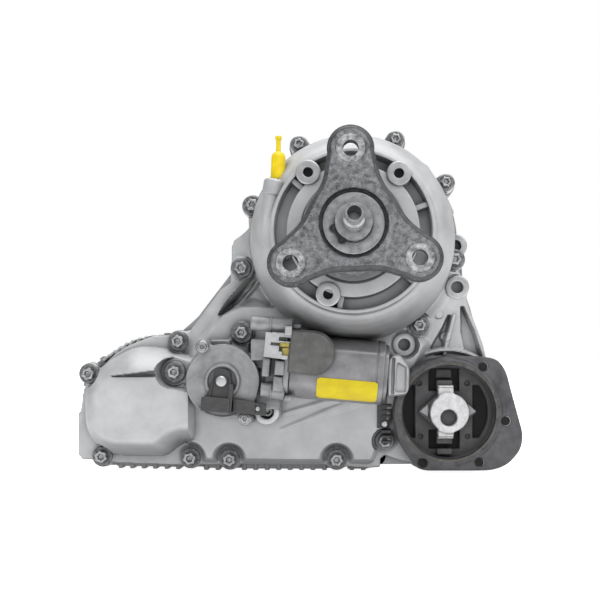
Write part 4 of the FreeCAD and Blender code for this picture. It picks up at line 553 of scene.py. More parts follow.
# The lobe is a big smooth slope whose top is cut by a flat face; the upper slope stands over the
# face and ends in a wedge-shaped step, and the right side drops to the belly in a wall.
lobe = {"reach": 25, "roll": 33.5, "flat": 28, "flatJoin": 2.2, "stepLow": -100.4, "crease": (-174, -100.1),
        "creaseSlope": 0.118, "creaseLong": 60, "stepLeft": -177, "stepTop": -100, "mergeLeft": -190,
        "mergeWide": 14, "mergeLow": -112, "wedgeDeep": 4, "wall": -115.2, "wallWide": 3.2,
        "wedge": [(-172, -100.3), (-137.5, -95.9), (-137.5, -100.5)]}
lobeFoot = rounded([(-198.5, -110), (-199, -124), (-198.3, -138), (-193.5, -149), (-185, -157), (-174, -160),
                    (-139, -160.5), (-131, -153.5), (-124, -149.5), (-104, -150), (-104, -90), (-126, -84),
                    (-137.5, -80), (-161, -78.3), (-182.5, -89.5), (-194, -101)], 9, closed=True).tolist()


def lobeHeight(x, z):
    t = np.clip(-polygon(x, z, lobeFoot) / lobe["reach"], 0, 1)
    roll = lobe["roll"] * (1 - (1 - t) ** 2) ** 0.6
    flat = blendMin(roll, np.full_like(roll, lobe["flat"]), lobe["flatJoin"])
    creaseLeft, creaseLow = lobe["crease"]
    crease = creaseLow + lobe["creaseSlope"] * np.clip(x - creaseLeft, 0, lobe["creaseLong"])
    step = np.clip((z - lobe["stepLow"]) / np.maximum(crease - lobe["stepLow"], 0.4), 0, 1)
    beyond = np.where(z > lobe["stepTop"], roll, flat)
    height = np.where(x > lobe["stepLeft"], flat + (roll - flat) * step, beyond)
    merge = ease((x - lobe["mergeLeft"]) / lobe["mergeWide"])
    height = np.where(z > lobe["mergeLow"], flat + (height - flat) * merge, flat)
    height = height - mound(polygon(x, z, lobe["wedge"]), lobe["wedgeDeep"], 1, 0.5)
    return height * ease((lobe["wall"] - x) / lobe["wallWide"])


# The belly: a low level whose edge slopes, steeper at the bottom, hollowed round three bolts.
def bellyHeight(x, z):
    edge = polygon(x, z, belly, 3)
    for name in ("C", "E", "F"):
        edge = blendMax(edge, -circle(x, z, bolts[name], cover["hollow"]), 2)
    return np.maximum(0, cover["bellyTall"] * ease(-edge / np.where(z < -128, 5.0, 9.0) + 0.5))


# The strut beside the dome: a ridge with a lit left edge and a broad flank that falls to the right.
strut = {"ridge": [(-59.8, -0.5), (-71.7, -17.6), (-82, -31), (-94.8, -47.3), (-99.2, -54.8)], "tall": 12,
         "low": -56, "acrossRidge": (0.81, -0.586), "leftWide": 1.6, "rightWide": 7.5, "narrows": 30,
         "rib": ((-67.4, -23.4), (-88.8, -47.3)), "ribTall": 2.6, "pocketDeep": 3.5, "flankDeep": 7,
         "pocket": [(-66, -30), (-82, -47.5), (-62, -48)],
         "flank": [(-57.5, -4), (-70, -20), (-80.5, -33.5), (-93.6, -49.5), (-97.6, -55), (-90, -50),
                   (-79, -38), (-67, -25), (-58, -14)]}


def strutHeight(x, z):
    far = np.full(np.shape(x), 99.0)
    for start, end in zip(strut["ridge"], strut["ridge"][1:]):
        far = np.minimum(far, bar(x, z, start, end, 0))
    top = strut["ridge"][0]
    toRight = (x - top[0]) * strut["acrossRidge"][0] + (z - top[1]) * strut["acrossRidge"][1]
    wide = np.clip(strut["rightWide"] * (z - strut["low"]) / strut["narrows"], 0.6, strut["rightWide"])
    side = np.where(toRight > 0, far / wide, far / strut["leftWide"])
    return np.where(z > strut["low"], strut["tall"] * np.clip(1 - side, 0, 1), 0)


# The web on the right: two deep grooves, a rib with a round pin, and the rim over the mount.
web = {"pin": (69.7, -71.6), "pinRadius": 3.4, "pinTall": 2.6, "rib": ((76, -56), (68.6, -84)),
       "ribWide": 1.1, "ribTall": 2.0, "dot": (64.5, -55), "dotRadius": 2.6, "dotTall": 1.5, "rim": 45.5,
       "rimTall": 3.2, "rimLow": -128, "grooves": (
           ([(82.2, -50), (82.4, -68), (86.2, -86), (95.6, -86), (90, -68)], 8.0),
           ([(72.4, -56.5), (67.6, -66.5), (62.5, -75), (57.5, -84), (66.5, -84), (67.4, -75.5),
             (70.8, -64)], 6.5))}
# Two low rays on the belly, which widen to the right.
ray = {"places": (((-50, -128), (18, -110)), ((-52, -140), (6, -118))), "start": 1.0, "end": 3.5,
       "tall": 0.9, "soft": 3.0}


def coverFace(x, z):
    height = np.maximum(bellyHeight(x, z), strutHeight(x, z))
    height = height + mound(bar(x, z, *strut["rib"], 0.9, 0.6), strut["ribTall"], 1.6, 0.8)
    height = np.maximum(height, lobeHeight(x, z))
    for start, end in ray["places"]:
        low = bar(x, z, start, end, ray["start"], ray["end"])
        height = height + mound(low, ray["tall"], ray["soft"], 0.5)
    # cut back round the side screw of the actuator, down to its seat
    notch = bar(x, z, actuatorBolts[1], control, cover["notch"])
    notchFace = cover["notchSeat"] + cover["notchTall"] * ease(notch / cover["notchWide"])
    height = np.where(notch < cover["notchWide"], np.minimum(height, notchFace), height)
    fromDome = np.hypot(x, z) - cover["domeFoot"]
    domeRoot = cover["domeRoot"] * np.clip(1 - fromDome / cover["domeRootWide"], 0, 1) ** 2.2
    height = np.maximum(height, domeRoot)
    height = np.maximum(height, mound(circle(x, z, web["pin"], web["pinRadius"]), web["pinTall"], 0.9))
    height = np.maximum(height, mound(bar(x, z, *web["rib"], web["ribWide"]), web["ribTall"], 0.9))
    height = np.maximum(height, mound(circle(x, z, web["dot"], web["dotRadius"]), web["dotTall"], 1))
    for corners, deep in web["grooves"]:
        height = height - mound(polygon(x, z, corners, 0.3), deep, 1.8, 0.8)
    height = height - mound(polygon(x, z, strut["pocket"], 1.0), strut["pocketDeep"], 2.5, 0.6)
    height = height - mound(polygon(x, z, strut["flank"], 0.2), strut["flankDeep"], 1.2, 0.7)
    fromRim = np.abs(circle(x, z, mountMiddle, web["rim"]))
    rim = mound(fromRim, web["rimTall"], 1.9, 1.3) - 8 * (fromRim > 2.5)
    height = np.where(z > web["rimLow"], np.maximum(height, rim), height)
    for at in bolts.values():
        foot = circle(x, z, at, cover["boltRoom"])
        land = cover["land"] * np.clip(1 - foot / cover["landWide"], 0, 1) ** 2
        height = np.where(foot < cover["landWide"], np.maximum(height, land), height)
        room = cover["land"] + cover["boltRoomTall"] * ease((foot - 1) / 2)
        height = np.where(foot < 3, np.minimum(height, room), height)
    for at in lugs:
        edge = circle(x, z, at, cover["lugRoom"])
        room = cover["lugRoomTall"] * ease(edge / cover["lugRoomWide"])
        height = np.where(edge < cover["lugRoomWide"], np.minimum(height, room), height)
    return cover["faceDepth"] + height


# A short tube round a bolt or a bore, with its end face at a depth.
def boltBoss(at, end, radius=8, start=84, hole=4.3):
    return spun([(hole, start), (hole, end), (radius, end), (radius + 0.6, start)], [0, 0.4, 0.9, 0], at, 64,
                closed=True)


boss = {"end": 92, "radius": 8, "ringRadius": 7, "lugEnd": 90.5, "lugRadius": 9, "lugHole": 4.5}
makePiece("cover_skin", castSkin, [
    plate((-210, -176), (112, 80), cover["step"], coverField, coverFace, cover["parting"], cover["rimSoft"],
          light=True)], ["rear_case"])
print("cover skin made")
bosses = [boltBoss(at, boss["end"], boss["ringRadius"] if name in ringBolts else boss["radius"])
          for name, at in bolts.items()]
bosses += [boltBoss(at, boss["lugEnd"], boss["lugRadius"], cover["parting"], boss["lugHole"]) for at in lugs]
makePiece("cover_bolt_bosses", milled, bosses, ["rear_case"])

# Dome of the rear cover: its outer line, the lip, the channel with its ribs and the neck
dome = {"outer": [(76.8, 80), (76.4, 92), (74.6, 108), (72.2, 122), (67.5, 134), (63.6, 140.5), (60.4, 144),
                  (57.7, 145.4)], "lipOuter": 56.4, "lipInner": 54.0, "end": 150, "channel": 135,
        "neckOuter": 45.5, "neckInner": 36, "behind": [(36, 124), (66, 124), (68, 80)],
        "ribs": 6, "ribFirst": 20, "rib": (44, 56, -1.9, 1.9), "ribDepths": (133, 147.5)}
domeProfile = rounded(
    dome["outer"] + [(dome["lipOuter"], dome["end"]), (dome["lipInner"], dome["end"]),
                     (dome["lipInner"], dome["channel"]), (dome["neckOuter"], dome["channel"]),
                     (dome["neckOuter"], dome["end"]), (dome["neckInner"], dome["end"])] + dome["behind"],
    [0.4] + [6] * 6 + [0.5, 0.7, 0.7, 1.6, 1.6, 0.8, 0.6, 1, 1, 1], closed=True, steps=5)
domeShells = [turned(domeProfile, steps=220, closed=True)]
for number in range(dome["ribs"]):
    onRib = over(shaftAxis, dome["ribFirst"] + number * 360 / dome["ribs"])
    domeShells.append(prism(rectangle(*dome["rib"], 0.4), *dome["ribDepths"], 0.7, onRib))
makePiece("cover_dome", castSkin, domeShells, ["rear_case"])
neckBosses = [(-30.7, 39.4), (31.1, 38.7), (-17.1, -43.5)]
makePiece("neck_bosses", milled, [boltBoss(at, 152, 8.4, 134, 3.4) for at in neckBosses],
          ["rear_case"])
makePiece("neck_bore_shades", boreShade,
          [boreEnd(at, 3.6, 134, 149.5, 0.5) for at in neckBosses], ["rear_case"])

# Breather: its boss on the dome's shoulder, a hood that leans along the dome's lip and narrows
# downwards, and the pull-off cap
breather = {"at": (-52, 136), "capBase": 36.8, "capTall": 19, "hoodAt": (-54.3, 140.2, 32.2),
            "hoodLean": 0.17, "hoodUpright": 0.985}
ventPlane = plane((breather["at"][0], breather["at"][1], 0), (1, 0, 0), (0, 1, 0), (0, 0, 1))
ventBoss = rounded([(0, 29), (7.4, 29), (7.4, 35.4), (6.6, 36.5), (3.2, 36.5), (3.2, 34), (0, 34)],
                   [0, 0.5, 0.8, 0.4, 0.3, 0, 0])
ventHood = rounded([(0, -44), (1.2, -44), (4.8, -22), (6.6, -8), (7.9, -6.6), (7.9, 2.6), (6.8, 4), (0, 4)],
                   [0, 1, 4, 0.8, 0.8, 1.2, 1, 0])
hoodPlane = plane(breather["hoodAt"], (breather["hoodUpright"], 0, -breather["hoodLean"]), (0, 1, 0),
                  (breather["hoodLean"], 0, breather["hoodUpright"]))
makePiece("breather_boss", castSkin,
          [turned(ventBoss, ventPlane, 72), turned(ventHood, hoodPlane, 72)], ["rear_case"])
base = breather["capBase"]
top = base + breather["capTall"]
capProfile = rounded([(3.1, base), (5.4, base), (5.3, base + 5), (5.0, base + 12), (4.9, top - 2.2),
                      (3.6, top), (1.7, top + 0.6), (1.6, top + 9), (2.2, top + 9.4), (2.25, top + 11.7),
                      (0, top + 12)],
                     [0.2, 0.7, 1, 1, 1.6, 0.8, 0.8, 0.4, 0.3, 0.6, 0])
capProfile = np.vstack([capProfile, [(0, base + 12), (3.1, base + 12)]])
makePiece("breather_cap_form", yellowPlastic,
          [turned(capProfile, ventPlane, 56, closed=True)], ["vent_cap"], "breather_cap")
print("dome and breather made")


# A six-lobed head: the drive's radius swells by a cosine of six turns, and its middle is sunk.
def starHead(at, base, drive=4.3, tall=6.4):
    top = base + tall
    head = rounded([(0, base), (drive, base), (drive, top), (drive * 0.56, top),
                    (drive * 0.42, top - 1.6), (0, top - 1.8)], [0, 0, 0.8, 0.4, 0.4, 0])

    def lobes(turn, height):
        deep = np.clip((height - base - 1.4) / 1, 0, 1) * np.clip((top + 0.01 - height) / 1.2 + 0.5, 0, 1)
        return 1 + 0.11 * np.cos(6 * turn + at[0]) * deep
    return turned(head, over(at), 72, lobes)


# The round flange under a head, with a thin raised rim.
def headWasher(at, base, radius=7.7):
    return spun([(0, base), (radius, base), (radius, base + 1.1), (radius - 1.1, base + 1.9),
                 (radius * 0.62, base + 1.7), (0, base + 2.1)], [0, 0.2, 0.5, 0.5, 0.8, 0], at)


screw = {"seat": 92, "ringDrive": 3.6, "ringTall": 5.0, "ringWasher": 6.2, "actuatorSeat": 106,
         "actuatorWasher": 8.2}
largeBolts = [at for name, at in bolts.items() if name not in ringBolts]
heads = [starHead(at, screw["seat"]) for at in largeBolts]
heads += [starHead(at, screw["seat"], screw["ringDrive"], screw["ringTall"]) for at in ringBolts.values()]
washers = [headWasher(at, screw["seat"]) for at in largeBolts]
washers += [headWasher(at, screw["seat"], screw["ringWasher"]) for at in ringBolts.values()]
makePiece("case_bolt_heads", zinc, heads, ["case_bolts"])
makePiece("case_bolt_washers", zincDarker, washers, ["case_bolts"])
makePiece("actuator_bolt_heads", zinc,
          [starHead(at, screw["actuatorSeat"]) for at in actuatorBolts], ["actuator_bolts"])
makePiece("actuator_bolt_washers", zincDarker,
          [headWasher(at, screw["actuatorSeat"], screw["actuatorWasher"]) for at in actuatorBolts],
          ["actuator_bolts"])
print("bolts made")

# Output flange: three arms round the hub, with soft rims and spot faces round the holes
flange = {"face": 188, "back": 177, "pitch": 48, "turns": (92.4, 212.4, 332.4), "end": 15.2, "root": 24,
          "waist": 29, "join": 9, "hole": 5.1, "recess": 22.4, "spot": 9.6, "soft": 3.4, "rimWide": 2.7,
          "ringRadius": 28.5, "ringTall": 0.48, "gusset": [(24, -17), (44, -11), (44, 11), (24, 17)]}
armEnds = [polar(flange["pitch"], turn) for turn in flange["turns"]]


# The three arms and the hub, without the round ends of the arms.
def armsField(x, z):
    field = circle(x, z, shaftAxis, flange["waist"])
    for at in armEnds:
        field = blendMin(field, bar(x, z, shaftAxis, at, flange["root"], flange["end"] - 0.6), flange["join"])
    return field


def flangeField(x, z):
    field = armsField(x, z)
    for at in armEnds:
        field = np.minimum(field, circle(x, z, at, flange["end"]))
    field = np.maximum(field, -circle(x, z, shaftAxis, flange["recess"]))
    for at in armEnds:
        field = np.maximum(field, -circle(x, z, at, flange["hole"]))
    return field


def flangeFace(x, z):
    lowered = np.zeros_like(x)
    for at in armEnds:
        lowered = np.maximum(lowered, mound(circle(x, z, at, flange["spot"]), 0.7, 0.9))
    rim = np.clip(flange["soft"] + armsField(x, z), 0, flange["soft"])
    drop = flange["soft"] - np.sqrt(flange["soft"] ** 2 - rim ** 2)
    ringRise = mound(np.abs(circle(x, z, shaftAxis, flange["ringRadius"])), flange["ringTall"], 2.2)
    return flange["face"] - np.maximum(lowered, 0.75 * drop) + ringRise


# The band along the arms' edge: as far as rimWide inside the outline, and a little past it.
def rimBand(x, z):
    outline = armsField(x, z)
    for at in armEnds:
        outline = np.minimum(outline, circle(x, z, at, flange["end"]))
    return np.maximum(outline - 0.12, -outline - flange["rimWide"])


spots = [spun([(5.2, 186), (9.3, 186), (9.3, 187.45), (5.2, 187.45)], 0, at, closed=True) for at in armEnds]
makePiece("flange_spot_faces", spotted, spots, ["output_flange"], "main_shaft_line")
makePiece("flange_dark_rim", forgedDark,
          [plate((-64, -64), (64, 66), 0.6, rimBand, lambda x, z: flangeFace(x, z) + 0.1,
                 flange["back"] + 0.5)], ["output_flange"], "main_shaft_line")
flangeShells = [plate((-64, -64), (64, 66), 0.7, flangeField, flangeFace, flange["back"], 0.6, backSoft=1.5),
                spun([(17.6, 139), (27, 139), (27, 155), (35, 155), (34, 170), (31, 178), (23.5, 182.1),
                      (17.6, 182.1)], [0, 0.3, 0.5, 1.5, 4, 3, 0.3, 0.2], steps=128, closed=True)]
for turn in flange["turns"]:
    flangeShells.append(prism(rounded(flange["gusset"], 5, closed=True), 168, 178, 0, over(shaftAxis, turn),
                              startSoft=4))
makePiece("output_flange_form", forged, flangeShells, ["output_flange"], "main_shaft_line")
makePiece("flange_washer_form", ground,
          [spun([(12.1, 182), (20.4, 182), (20.4, 185.2), (12.1, 185.2)], [0, 0.3, 1.0, 0.5], steps=96,
                closed=True)], ["flange_washer"], "main_shaft_line")
circlip = {"gapTurn": 215, "outer": 14, "inner": 11.2, "gap": 3.4, "earAt": 12.6, "earAside": 4.6, "ear": 2.6,
           "eye": 1.0}


# Open ring with an ear and an eye at each end of its gap.
def circlipField(x, z):
    dx, dz = polar(1, circlip["gapTurn"])
    along, aside = x * dx + z * dz, -x * dz + z * dx
    field = np.maximum(circle(x, z, shaftAxis, circlip["outer"]), -circle(x, z, shaftAxis, circlip["inner"]))
    field = np.maximum(field, -np.where(along > 0, circlip["gap"] - np.abs(aside), -9))
    for side in (-1, 1):
        ear = (circlip["earAt"] * dx - side * circlip["earAside"] * dz,
               circlip["earAt"] * dz + side * circlip["earAside"] * dx)
        field = np.minimum(field, circle(x, z, ear, circlip["ear"]))
        field = np.maximum(field, -circle(x, z, ear, circlip["eye"]))
    return field


makePiece("flange_circlip_form", springSteel,
          [plate((-17, -17), (17, 17), 0.3, circlipField, lambda x, z: 187 + 0 * x, 185, 0.35)],
          ["flange_circlip"], "main_shaft_line")
print("flange made")

# Actuator: a round pot with three feet on the belly, its lid, and blocks towards the motor
pot = {"seat": 99, "lidSeat": 124, "radius": 26.2, "foot": 9, "sideFoot": 10.6, "arm": 8.2, "footThick": 7,
       "screwRoom": 9.2, "start": 100, "end": 123.8, "screwEar": 5.4, "screwArm": 5.2, "fillet": 6,
       "filletWide": 5}
tilt = math.radians(4.9)
wormFoot = (-90.7187, 118, -88.5548)
alongMotor = (math.cos(tilt), 0, -math.sin(tilt))
downMotor = (-math.sin(tilt), 0, -math.cos(tilt))
motorFace = plane(wormFoot, alongMotor, downMotor, (0, 1, 0))  # (along, down, outwards)
motorLine = plane(wormFoot, downMotor, (0, 1, 0), alongMotor)  # (down, outwards, along)


def footField(x, z):
    field = circle(x, z, control, pot["radius"])
    for at in actuatorBolts:
        field = blendMin(field, bar(x, z, control, at, pot["arm"]), 5)
        foot = pot["sideFoot"] if at == actuatorBolts[1] else pot["foot"]
        field = np.minimum(field, circle(x, z, at, foot))
    return field


def footFace(x, z):
    fillet = np.clip(1 - circle(x, z, control, pot["radius"]) / pot["filletWide"], 0, 1) ** 2
    height = pot["footThick"] + pot["fillet"] * fillet
    for at in actuatorBolts:
        height = np.where(circle(x, z, at, pot["screwRoom"]) < 0, pot["footThick"], height)
    return pot["seat"] + height


screwPlaces = [(-106.1, -79.2), (-76.2, -129.9)]
housing = [plate((-142, -138), (-48, -56), 0.7, footField, footFace, pot["seat"] - 0.5, 1.2),
           spun([(0, pot["start"]), (26.6, pot["start"]), (26.0, pot["end"]), (0, pot["end"])],
                [0, 0, 0.8, 0], control, 128)]
for at in screwPlaces:
    housing.append(spun([(0, pot["seat"]), (5.6, pot["seat"]), (5, pot["end"]), (0, pot["end"])],
                        [0, 0, 0.6, 0], at, 40))
# Blocks of the gearbox: left, right, low, high and the depth of the end face.
for left, right, low, high, end in ((-72, -59, -89, -73.5, 131), (-59, -46.5, -88, -74.5, 129),
                                    (-70, -52, -124, -96, 121), (-72, -44, -97, -80, 118),
                                    (-103, -88, -80, -74, 116)):
    housing.append(prism(rectangle(left, right, low, high, 2.2), pot["seat"], end, 1.4))
motorNeck = rounded([(0, 10), (6.4, 10), (6.4, 40), (21, 42), (23.6, 43.2), (23.6, 46.6), (0, 46.6)],
                    [0, 0, 2, 1.5, 1, 0.5, 0])
housing.append(turned(motorNeck, motorLine, 96,
                      lambda turn, height: np.minimum(1, 0.84 / np.maximum(np.abs(np.sin(turn)), 0.5))))
makePiece("actuator_pot", castGrey, housing, ["actuator_housing"])


def lidField(x, z):
    field = circle(x, z, control, pot["radius"])
    for at in screwPlaces:
        field = blendMin(field, bar(x, z, control, at, pot["screwArm"]), 3)
        field = np.minimum(field, circle(x, z, at, pot["screwEar"]))
    return field


# The lid's face: a step down inside the rim, a shallow cone, and a raised ring with a sunk middle.
lid = {"thick": 4, "rim": 25, "rimStep": 0.5, "cone": 20, "coneTall": 1.2, "coneWide": 7, "ring": 13,
       "ringTall": 6.4, "well": 11.2, "wellDeep": 1.6, "ear": 5.5, "earThick": 4.2}


def lidFace(x, z):
    far = circle(x, z, control, 0)
    height = lid["thick"] - lid["rimStep"] * ease(lid["rim"] - far)
    height = height + lid["coneTall"] * ease((lid["cone"] - far) / lid["coneWide"])
    height = np.maximum(height, lid["ringTall"] * ease((lid["ring"] - far) / 1.2))
    height = height - lid["wellDeep"] * ease((lid["well"] - far) / 0.9)
    for at in screwPlaces:
        height = np.where(circle(x, z, at, lid["ear"]) < 0, lid["earThick"], height)
    return pot["lidSeat"] + height


makePiece("actuator_lid", castGrey,
          [plate((-122, -138), (-62, -72), 0.5, lidField, lidFace, pot["lidSeat"], 0.9)], ["actuator_cover"])
screws = []
for at in screwPlaces:
    screws += [headWasher(at, 128, 4.5), starHead(at, 128.6, 2.9, 2.6)]
makePiece("lid_screw_heads", zinc, screws, ["cover_screws"])
makePiece("pot_centre_ring", castGrey,
          [spun([(10.2, 127.6), (10.2, 131.2), (12.2, 131.2), (13.2, 127.6)], [0, 0.5, 0.8, 0], control, 96,
                closed=True)])
makePiece("pot_ring_lug", milled,
          [spun([(5.2, 99), (5.2, 119), (9.2, 119), (9.6, 99)], [0, 0.7, 0.9, 0], actuatorBolts[2], 64,
                closed=True)])
print("actuator made")

# Motor: flat-sided can with a rolled end, plug cover, contact plate and a blank label
motor = {"radius": 23, "flat": 18.6, "plugMiddle": (62.2, -10.3), "plugRadius": 15.6,
         "plugTurn": (-1.35, 1.45)}


# The can's section: a circle whose sides towards the front and the rear are flattened.
def flatSides(turn, height):
    limit = motor["flat"] / motor["radius"]
    reach = limit / np.maximum(np.abs(np.sin(turn)), 1e-6)
    return blendMin(np.ones_like(reach), np.minimum(reach, 3), 0.08)


canProfile = rounded([(0, 46.8), (22.4, 46.8), (22.6, 50.4), (23, 52), (23, 106.6), (22.4, 107.1),
                      (22.4, 107.9), (22.9, 108.4), (22.9, 112.8), (20.6, 113.2), (20.4, 115.6), (8, 116),
                      (7.6, 117), (0, 117)],
                     [0, 0.6, 0.8, 0.8, 0.3, 0.3, 0.3, 0.3, 0.9, 0.4, 0.8, 0.8, 0.4, 0])
makePiece("motor_can_form", canSteel, [turned(canProfile, motorLine, 144, flatSides)],
          ["motor_can"])
plugOutline = [(45.6, -25.4), (61, -25.9)]
plugOutline += [polar(motor["plugRadius"], math.degrees(turn), motor["plugMiddle"])
                for turn in np.linspace(*motor["plugTurn"], 22)]
plugOutline += [(45.6, 4.6)]
plugTop = np.array(plugOutline) * (0.955, 0.94) + (2.6, -0.6)
makePiece("motor_plug_form", plugGrey,
          [prism(plugOutline, 15, 20.4, 0.3, motorFace), prism(plugTop, 20, 21.6, 0.8, motorFace)],
          ["motor_plug_cover"])
contactNotches = [[(38, -19.4), (48, -19.4), (48, -16.8), (38, -16.8)],
                  [(32.5, -15.2), (40, -15.2), (40, -13.4), (32.5, -13.4)],
                  [(38.5, -15.8), (48, -15.8), (48, -7), (41, -7), (41, -9.4), (38.5, -9.4)]]


# The contact plate's outline: a rounded block with notches from the side of the plug.
def contactField(a, b):
    field = polygon(a, b, [(28.6, -21.6), (46.5, -22.6), (44.6, -4.4), (28.4, -5.2)], 0.3)
    for notch in contactNotches:
        field = np.maximum(field, -polygon(a, b, notch, 0.1))
    return field


makePiece("motor_contact_form", milled,
          [plate((26, -25), (49, -2), 0.35, contactField, lambda a, b: 21.4 + 0 * a, 20.3, 0.3, motorFace),
           prism(rectangle(41.5, 46.5, -27.6, -21, 0.8), 17, 22.8, 0.7, motorFace)], ["motor_contact_plate"])
makePiece("motor_plug_insert", agedYellow,
          [prism(rectangle(38.6, 45.5, -16.8, -12.8, 0.6), 16, 20.6, 0.6, motorFace),
           prism(rectangle(40.6, 45.5, -12.4, -6.4, 0.6), 16, 20, 0.6, motorFace)])
label = {"start": 66.6, "long": 42.6, "top": 6.2, "wide": 14.6, "corner": 1.9, "thick": 0.25, "radius": 23.15,
         "flat": 18.75, "lift": 0.28, "rows": 45, "columns": 15}


# The blank label lies round the can's lower side: its points run down the flat and the curve.
def labelSheet():
    along, down = np.meshgrid(np.linspace(0, 1, label["rows"]), np.linspace(0, 1, label["columns"]),
                              indexing="ij")
    reach = label["top"] + label["wide"] * down
    curve = np.sqrt(np.maximum(label["radius"] ** 2 - reach ** 2, 0))
    height = blendMin(curve, np.full_like(reach, label["flat"]), 1.6) + label["lift"]
    nearEdge = np.clip((np.abs(down - 0.5) - 0.36) / 0.14, 0, 1)
    inset = label["corner"] * (1 - np.sqrt(1 - nearEdge ** 2))
    a = label["start"] + inset + (label["long"] - 2 * inset) * along
    count = label["rows"] * label["columns"]
    index = np.arange(count).reshape(label["rows"], label["columns"])
    face = np.stack([index[:-1, :-1], index[1:, :-1], index[1:, 1:], index[:-1, 1:]], -1).reshape(-1, 4)
    rim = np.concatenate([index[:, 0], index[-1, 1:], index[-2::-1, -1], index[0, -2:0:-1]])
    onward = np.roll(rim, -1)
    walls = np.column_stack([rim, onward, onward + count, rim + count])
    points = np.vstack([put(motorFace, a, reach, height), put(motorFace, a, reach, height - label["thick"])])
    return points, [face, walls, face[:, ::-1] + count]


makePiece("motor_label_form", labelFilm, [labelSheet()], ["motor_label"])
# Tabs beside the motor's plug as boxes (left, right, low, high, start, end, soft) and round studs
# along the motor (down, outwards, radius, start, end).
tabs = ((27.5, 33, -4, 9, 4, 17, 1.2), (36.5, 43.6, -3, 7.2, 4, 20.5, 1.4), (36, 44, 7.8, 18.6, 4, 18.6, 1.4),
        (29, 43, -9, 21, 0, 8, 1.5))
studs = ((-27.8, 14, 5.3, 17, 46), (18.6, 10, 5.8, 27.5, 44.5), (-27.4, 14, 2.4, 46, 52),
         (22.8, 12, 2.6, 44.5, 50), (-27.8, 14, 5.8, 30.5, 32), (18.6, 10, 6.3, 34, 35.5))
blocks = [prism(rectangle(left, right, low, high, 1.2), start, end, soft, motorFace)
          for left, right, low, high, start, end, soft in tabs]
for down, out, radius, start, end in studs:
    onStud = plane(motorLine[0] + down * motorLine[1] + out * motorLine[2], *motorLine[1:])
    stud = rounded([(0, start), (radius, start), (radius, end), (0, end)], [0, 0.8, 0.8, 0])
    blocks.append(turned(stud, onStud, 48))
makePiece("actuator_blocks", castGrey, blocks)
print("motor made")

# Sensor over the cam shaft's end: a tongue that widens to a box, a fin and an arm
sensor = {"lean": 5, "seat": 128.4, "tongue": [(-6.6, 2), (-5.6, 7), (0, 9.2), (5.6, 7), (6.6, 2), (8.6, -12),
                                               (-9.8, -12)], "armPin": (-66.6, -122.6)}
leaning = over(control, -sensor["lean"])
upright = over(control)
sensorShells = [
    prism(rounded(sensor["tongue"], [4, 4, 4, 4, 4, 1, 1], closed=True), 130.5, 133.2, 0.7, leaning),
    prism(rectangle(-12.6, 7.4, -21.6, -11.4, 1.6), sensor["seat"], 137.6, 0.8, leaning),
    prism(rectangle(5.6, 8.8, -22, -1.4, 0.8), sensor["seat"], 136.2, 0.6, leaning),
    prism(rectangle(-10.2, 5.0, -17.6, -16.4, 0.4), 137, 138.0, 0.3, leaning),
    prism([(8, -21.8), (30.4, -24.2), (31.2, -15.8), (8, -12.4)], sensor["seat"], 133.4, 0.9, upright),
    prism([(9.5, -20.6), (23.6, -22), (24, -15.4), (9.5, -13.4)], 133, 134.4, 0.7, upright)]
for side in (-1, 1):
    rail = [(side * 6.3, 3), (side * 4.9, 3), (side * 6.6, -12), (side * 8.4, -12)]
    sensorShells.append(prism(rounded(rail, 0.4, closed=True), 132.6, 134.6, 0.5, leaning))
makePiece("position_sensor_form", nylon, sensorShells, ["position_sensor"])
makePiece("sensor_screw_form", milled,
          [spun([(0, 132), (4, 132), (4, 135), (3.2, 135.9), (0, 136.1)], [0, 0.2, 0.5, 1, 0], control, 40)],
          ["sensor_screw"])
makePiece("sensor_arm_pin", zinc,
          [spun([(0, 133), (1.5, 133), (1.5, 135), (0, 135.2)], [0, 0, 0.4, 0], sensor["armPin"], 24)])
print("sensor made")

# Mount: the bracket's plate and ring, the rubber with its four voids, and the core
mount = {"plate": 105.4, "ring": 107, "ringOuter": 41.5, "inside": 34.8, "web": 98, "back": 93, "hole": 3.1,
         "groove": 39.2, "rubberRing": 32.4, "ringTall": 7.6, "dimples": ((-21, 21), (14.5, 21), (-20, -18.5),
                                                                          (15, -18.5))}
bracketOutline = rounded([
    (106.2, -88.1), (112.6, -96.6), (116, -110.1), (125.3, -143.8), (123.6, -154.8), (114.2, -165.8),
    (102.5, -170), (52.7, -170), (45.9, -167.5), (33.3, -148.9), (28.6, -127), (33.3, -105), (45.9, -91.5),
    (59.5, -87.3), (70, -85.2), (94.4, -86.1)], 6, closed=True).tolist()
bracketHoles = [(95.5, -93.6), (112.1, -133.5), (92.8, -163.8), (51.2, -164.1)]


def fromMount(x, z):
    return x - mountMiddle[0], z - mountMiddle[1]


def bracketField(x, z):
    field = polygon(x, z, bracketOutline)
    field = np.maximum(field, -circle(x, z, mountMiddle, mount["inside"]))
    for at in bracketHoles:
        field = np.maximum(field, -circle(x, z, at, mount["hole"]))
    return field


def bracketFace(x, z):
    dx, dz = fromMount(x, z)
    far = np.hypot(dx, dz)
    height = mount["plate"] + (mount["ring"] - mount["plate"]) * ease((mount["ringOuter"] - far) / 2.5)
    height = height - 0.9 * ease((dx - 15) / 18) * ease((far - mount["ringOuter"]) / 2)
    return height - mound(np.abs(far - mount["groove"]), 1.2, 1.3) * ease((dx + 10) / 20)


makePiece("mount_bracket_form", charcoal,
          [plate((22, -178), (128, -80), 0.7, bracketField, bracketFace, mount["back"], 1.8, backSoft=1)],
          ["mount_bracket"])
makePiece("mount_hole_shades", boreShade,
          [boreEnd(at, 3.2, 94, 104.4, 0.1) for at in bracketHoles], ["mount_bracket"])


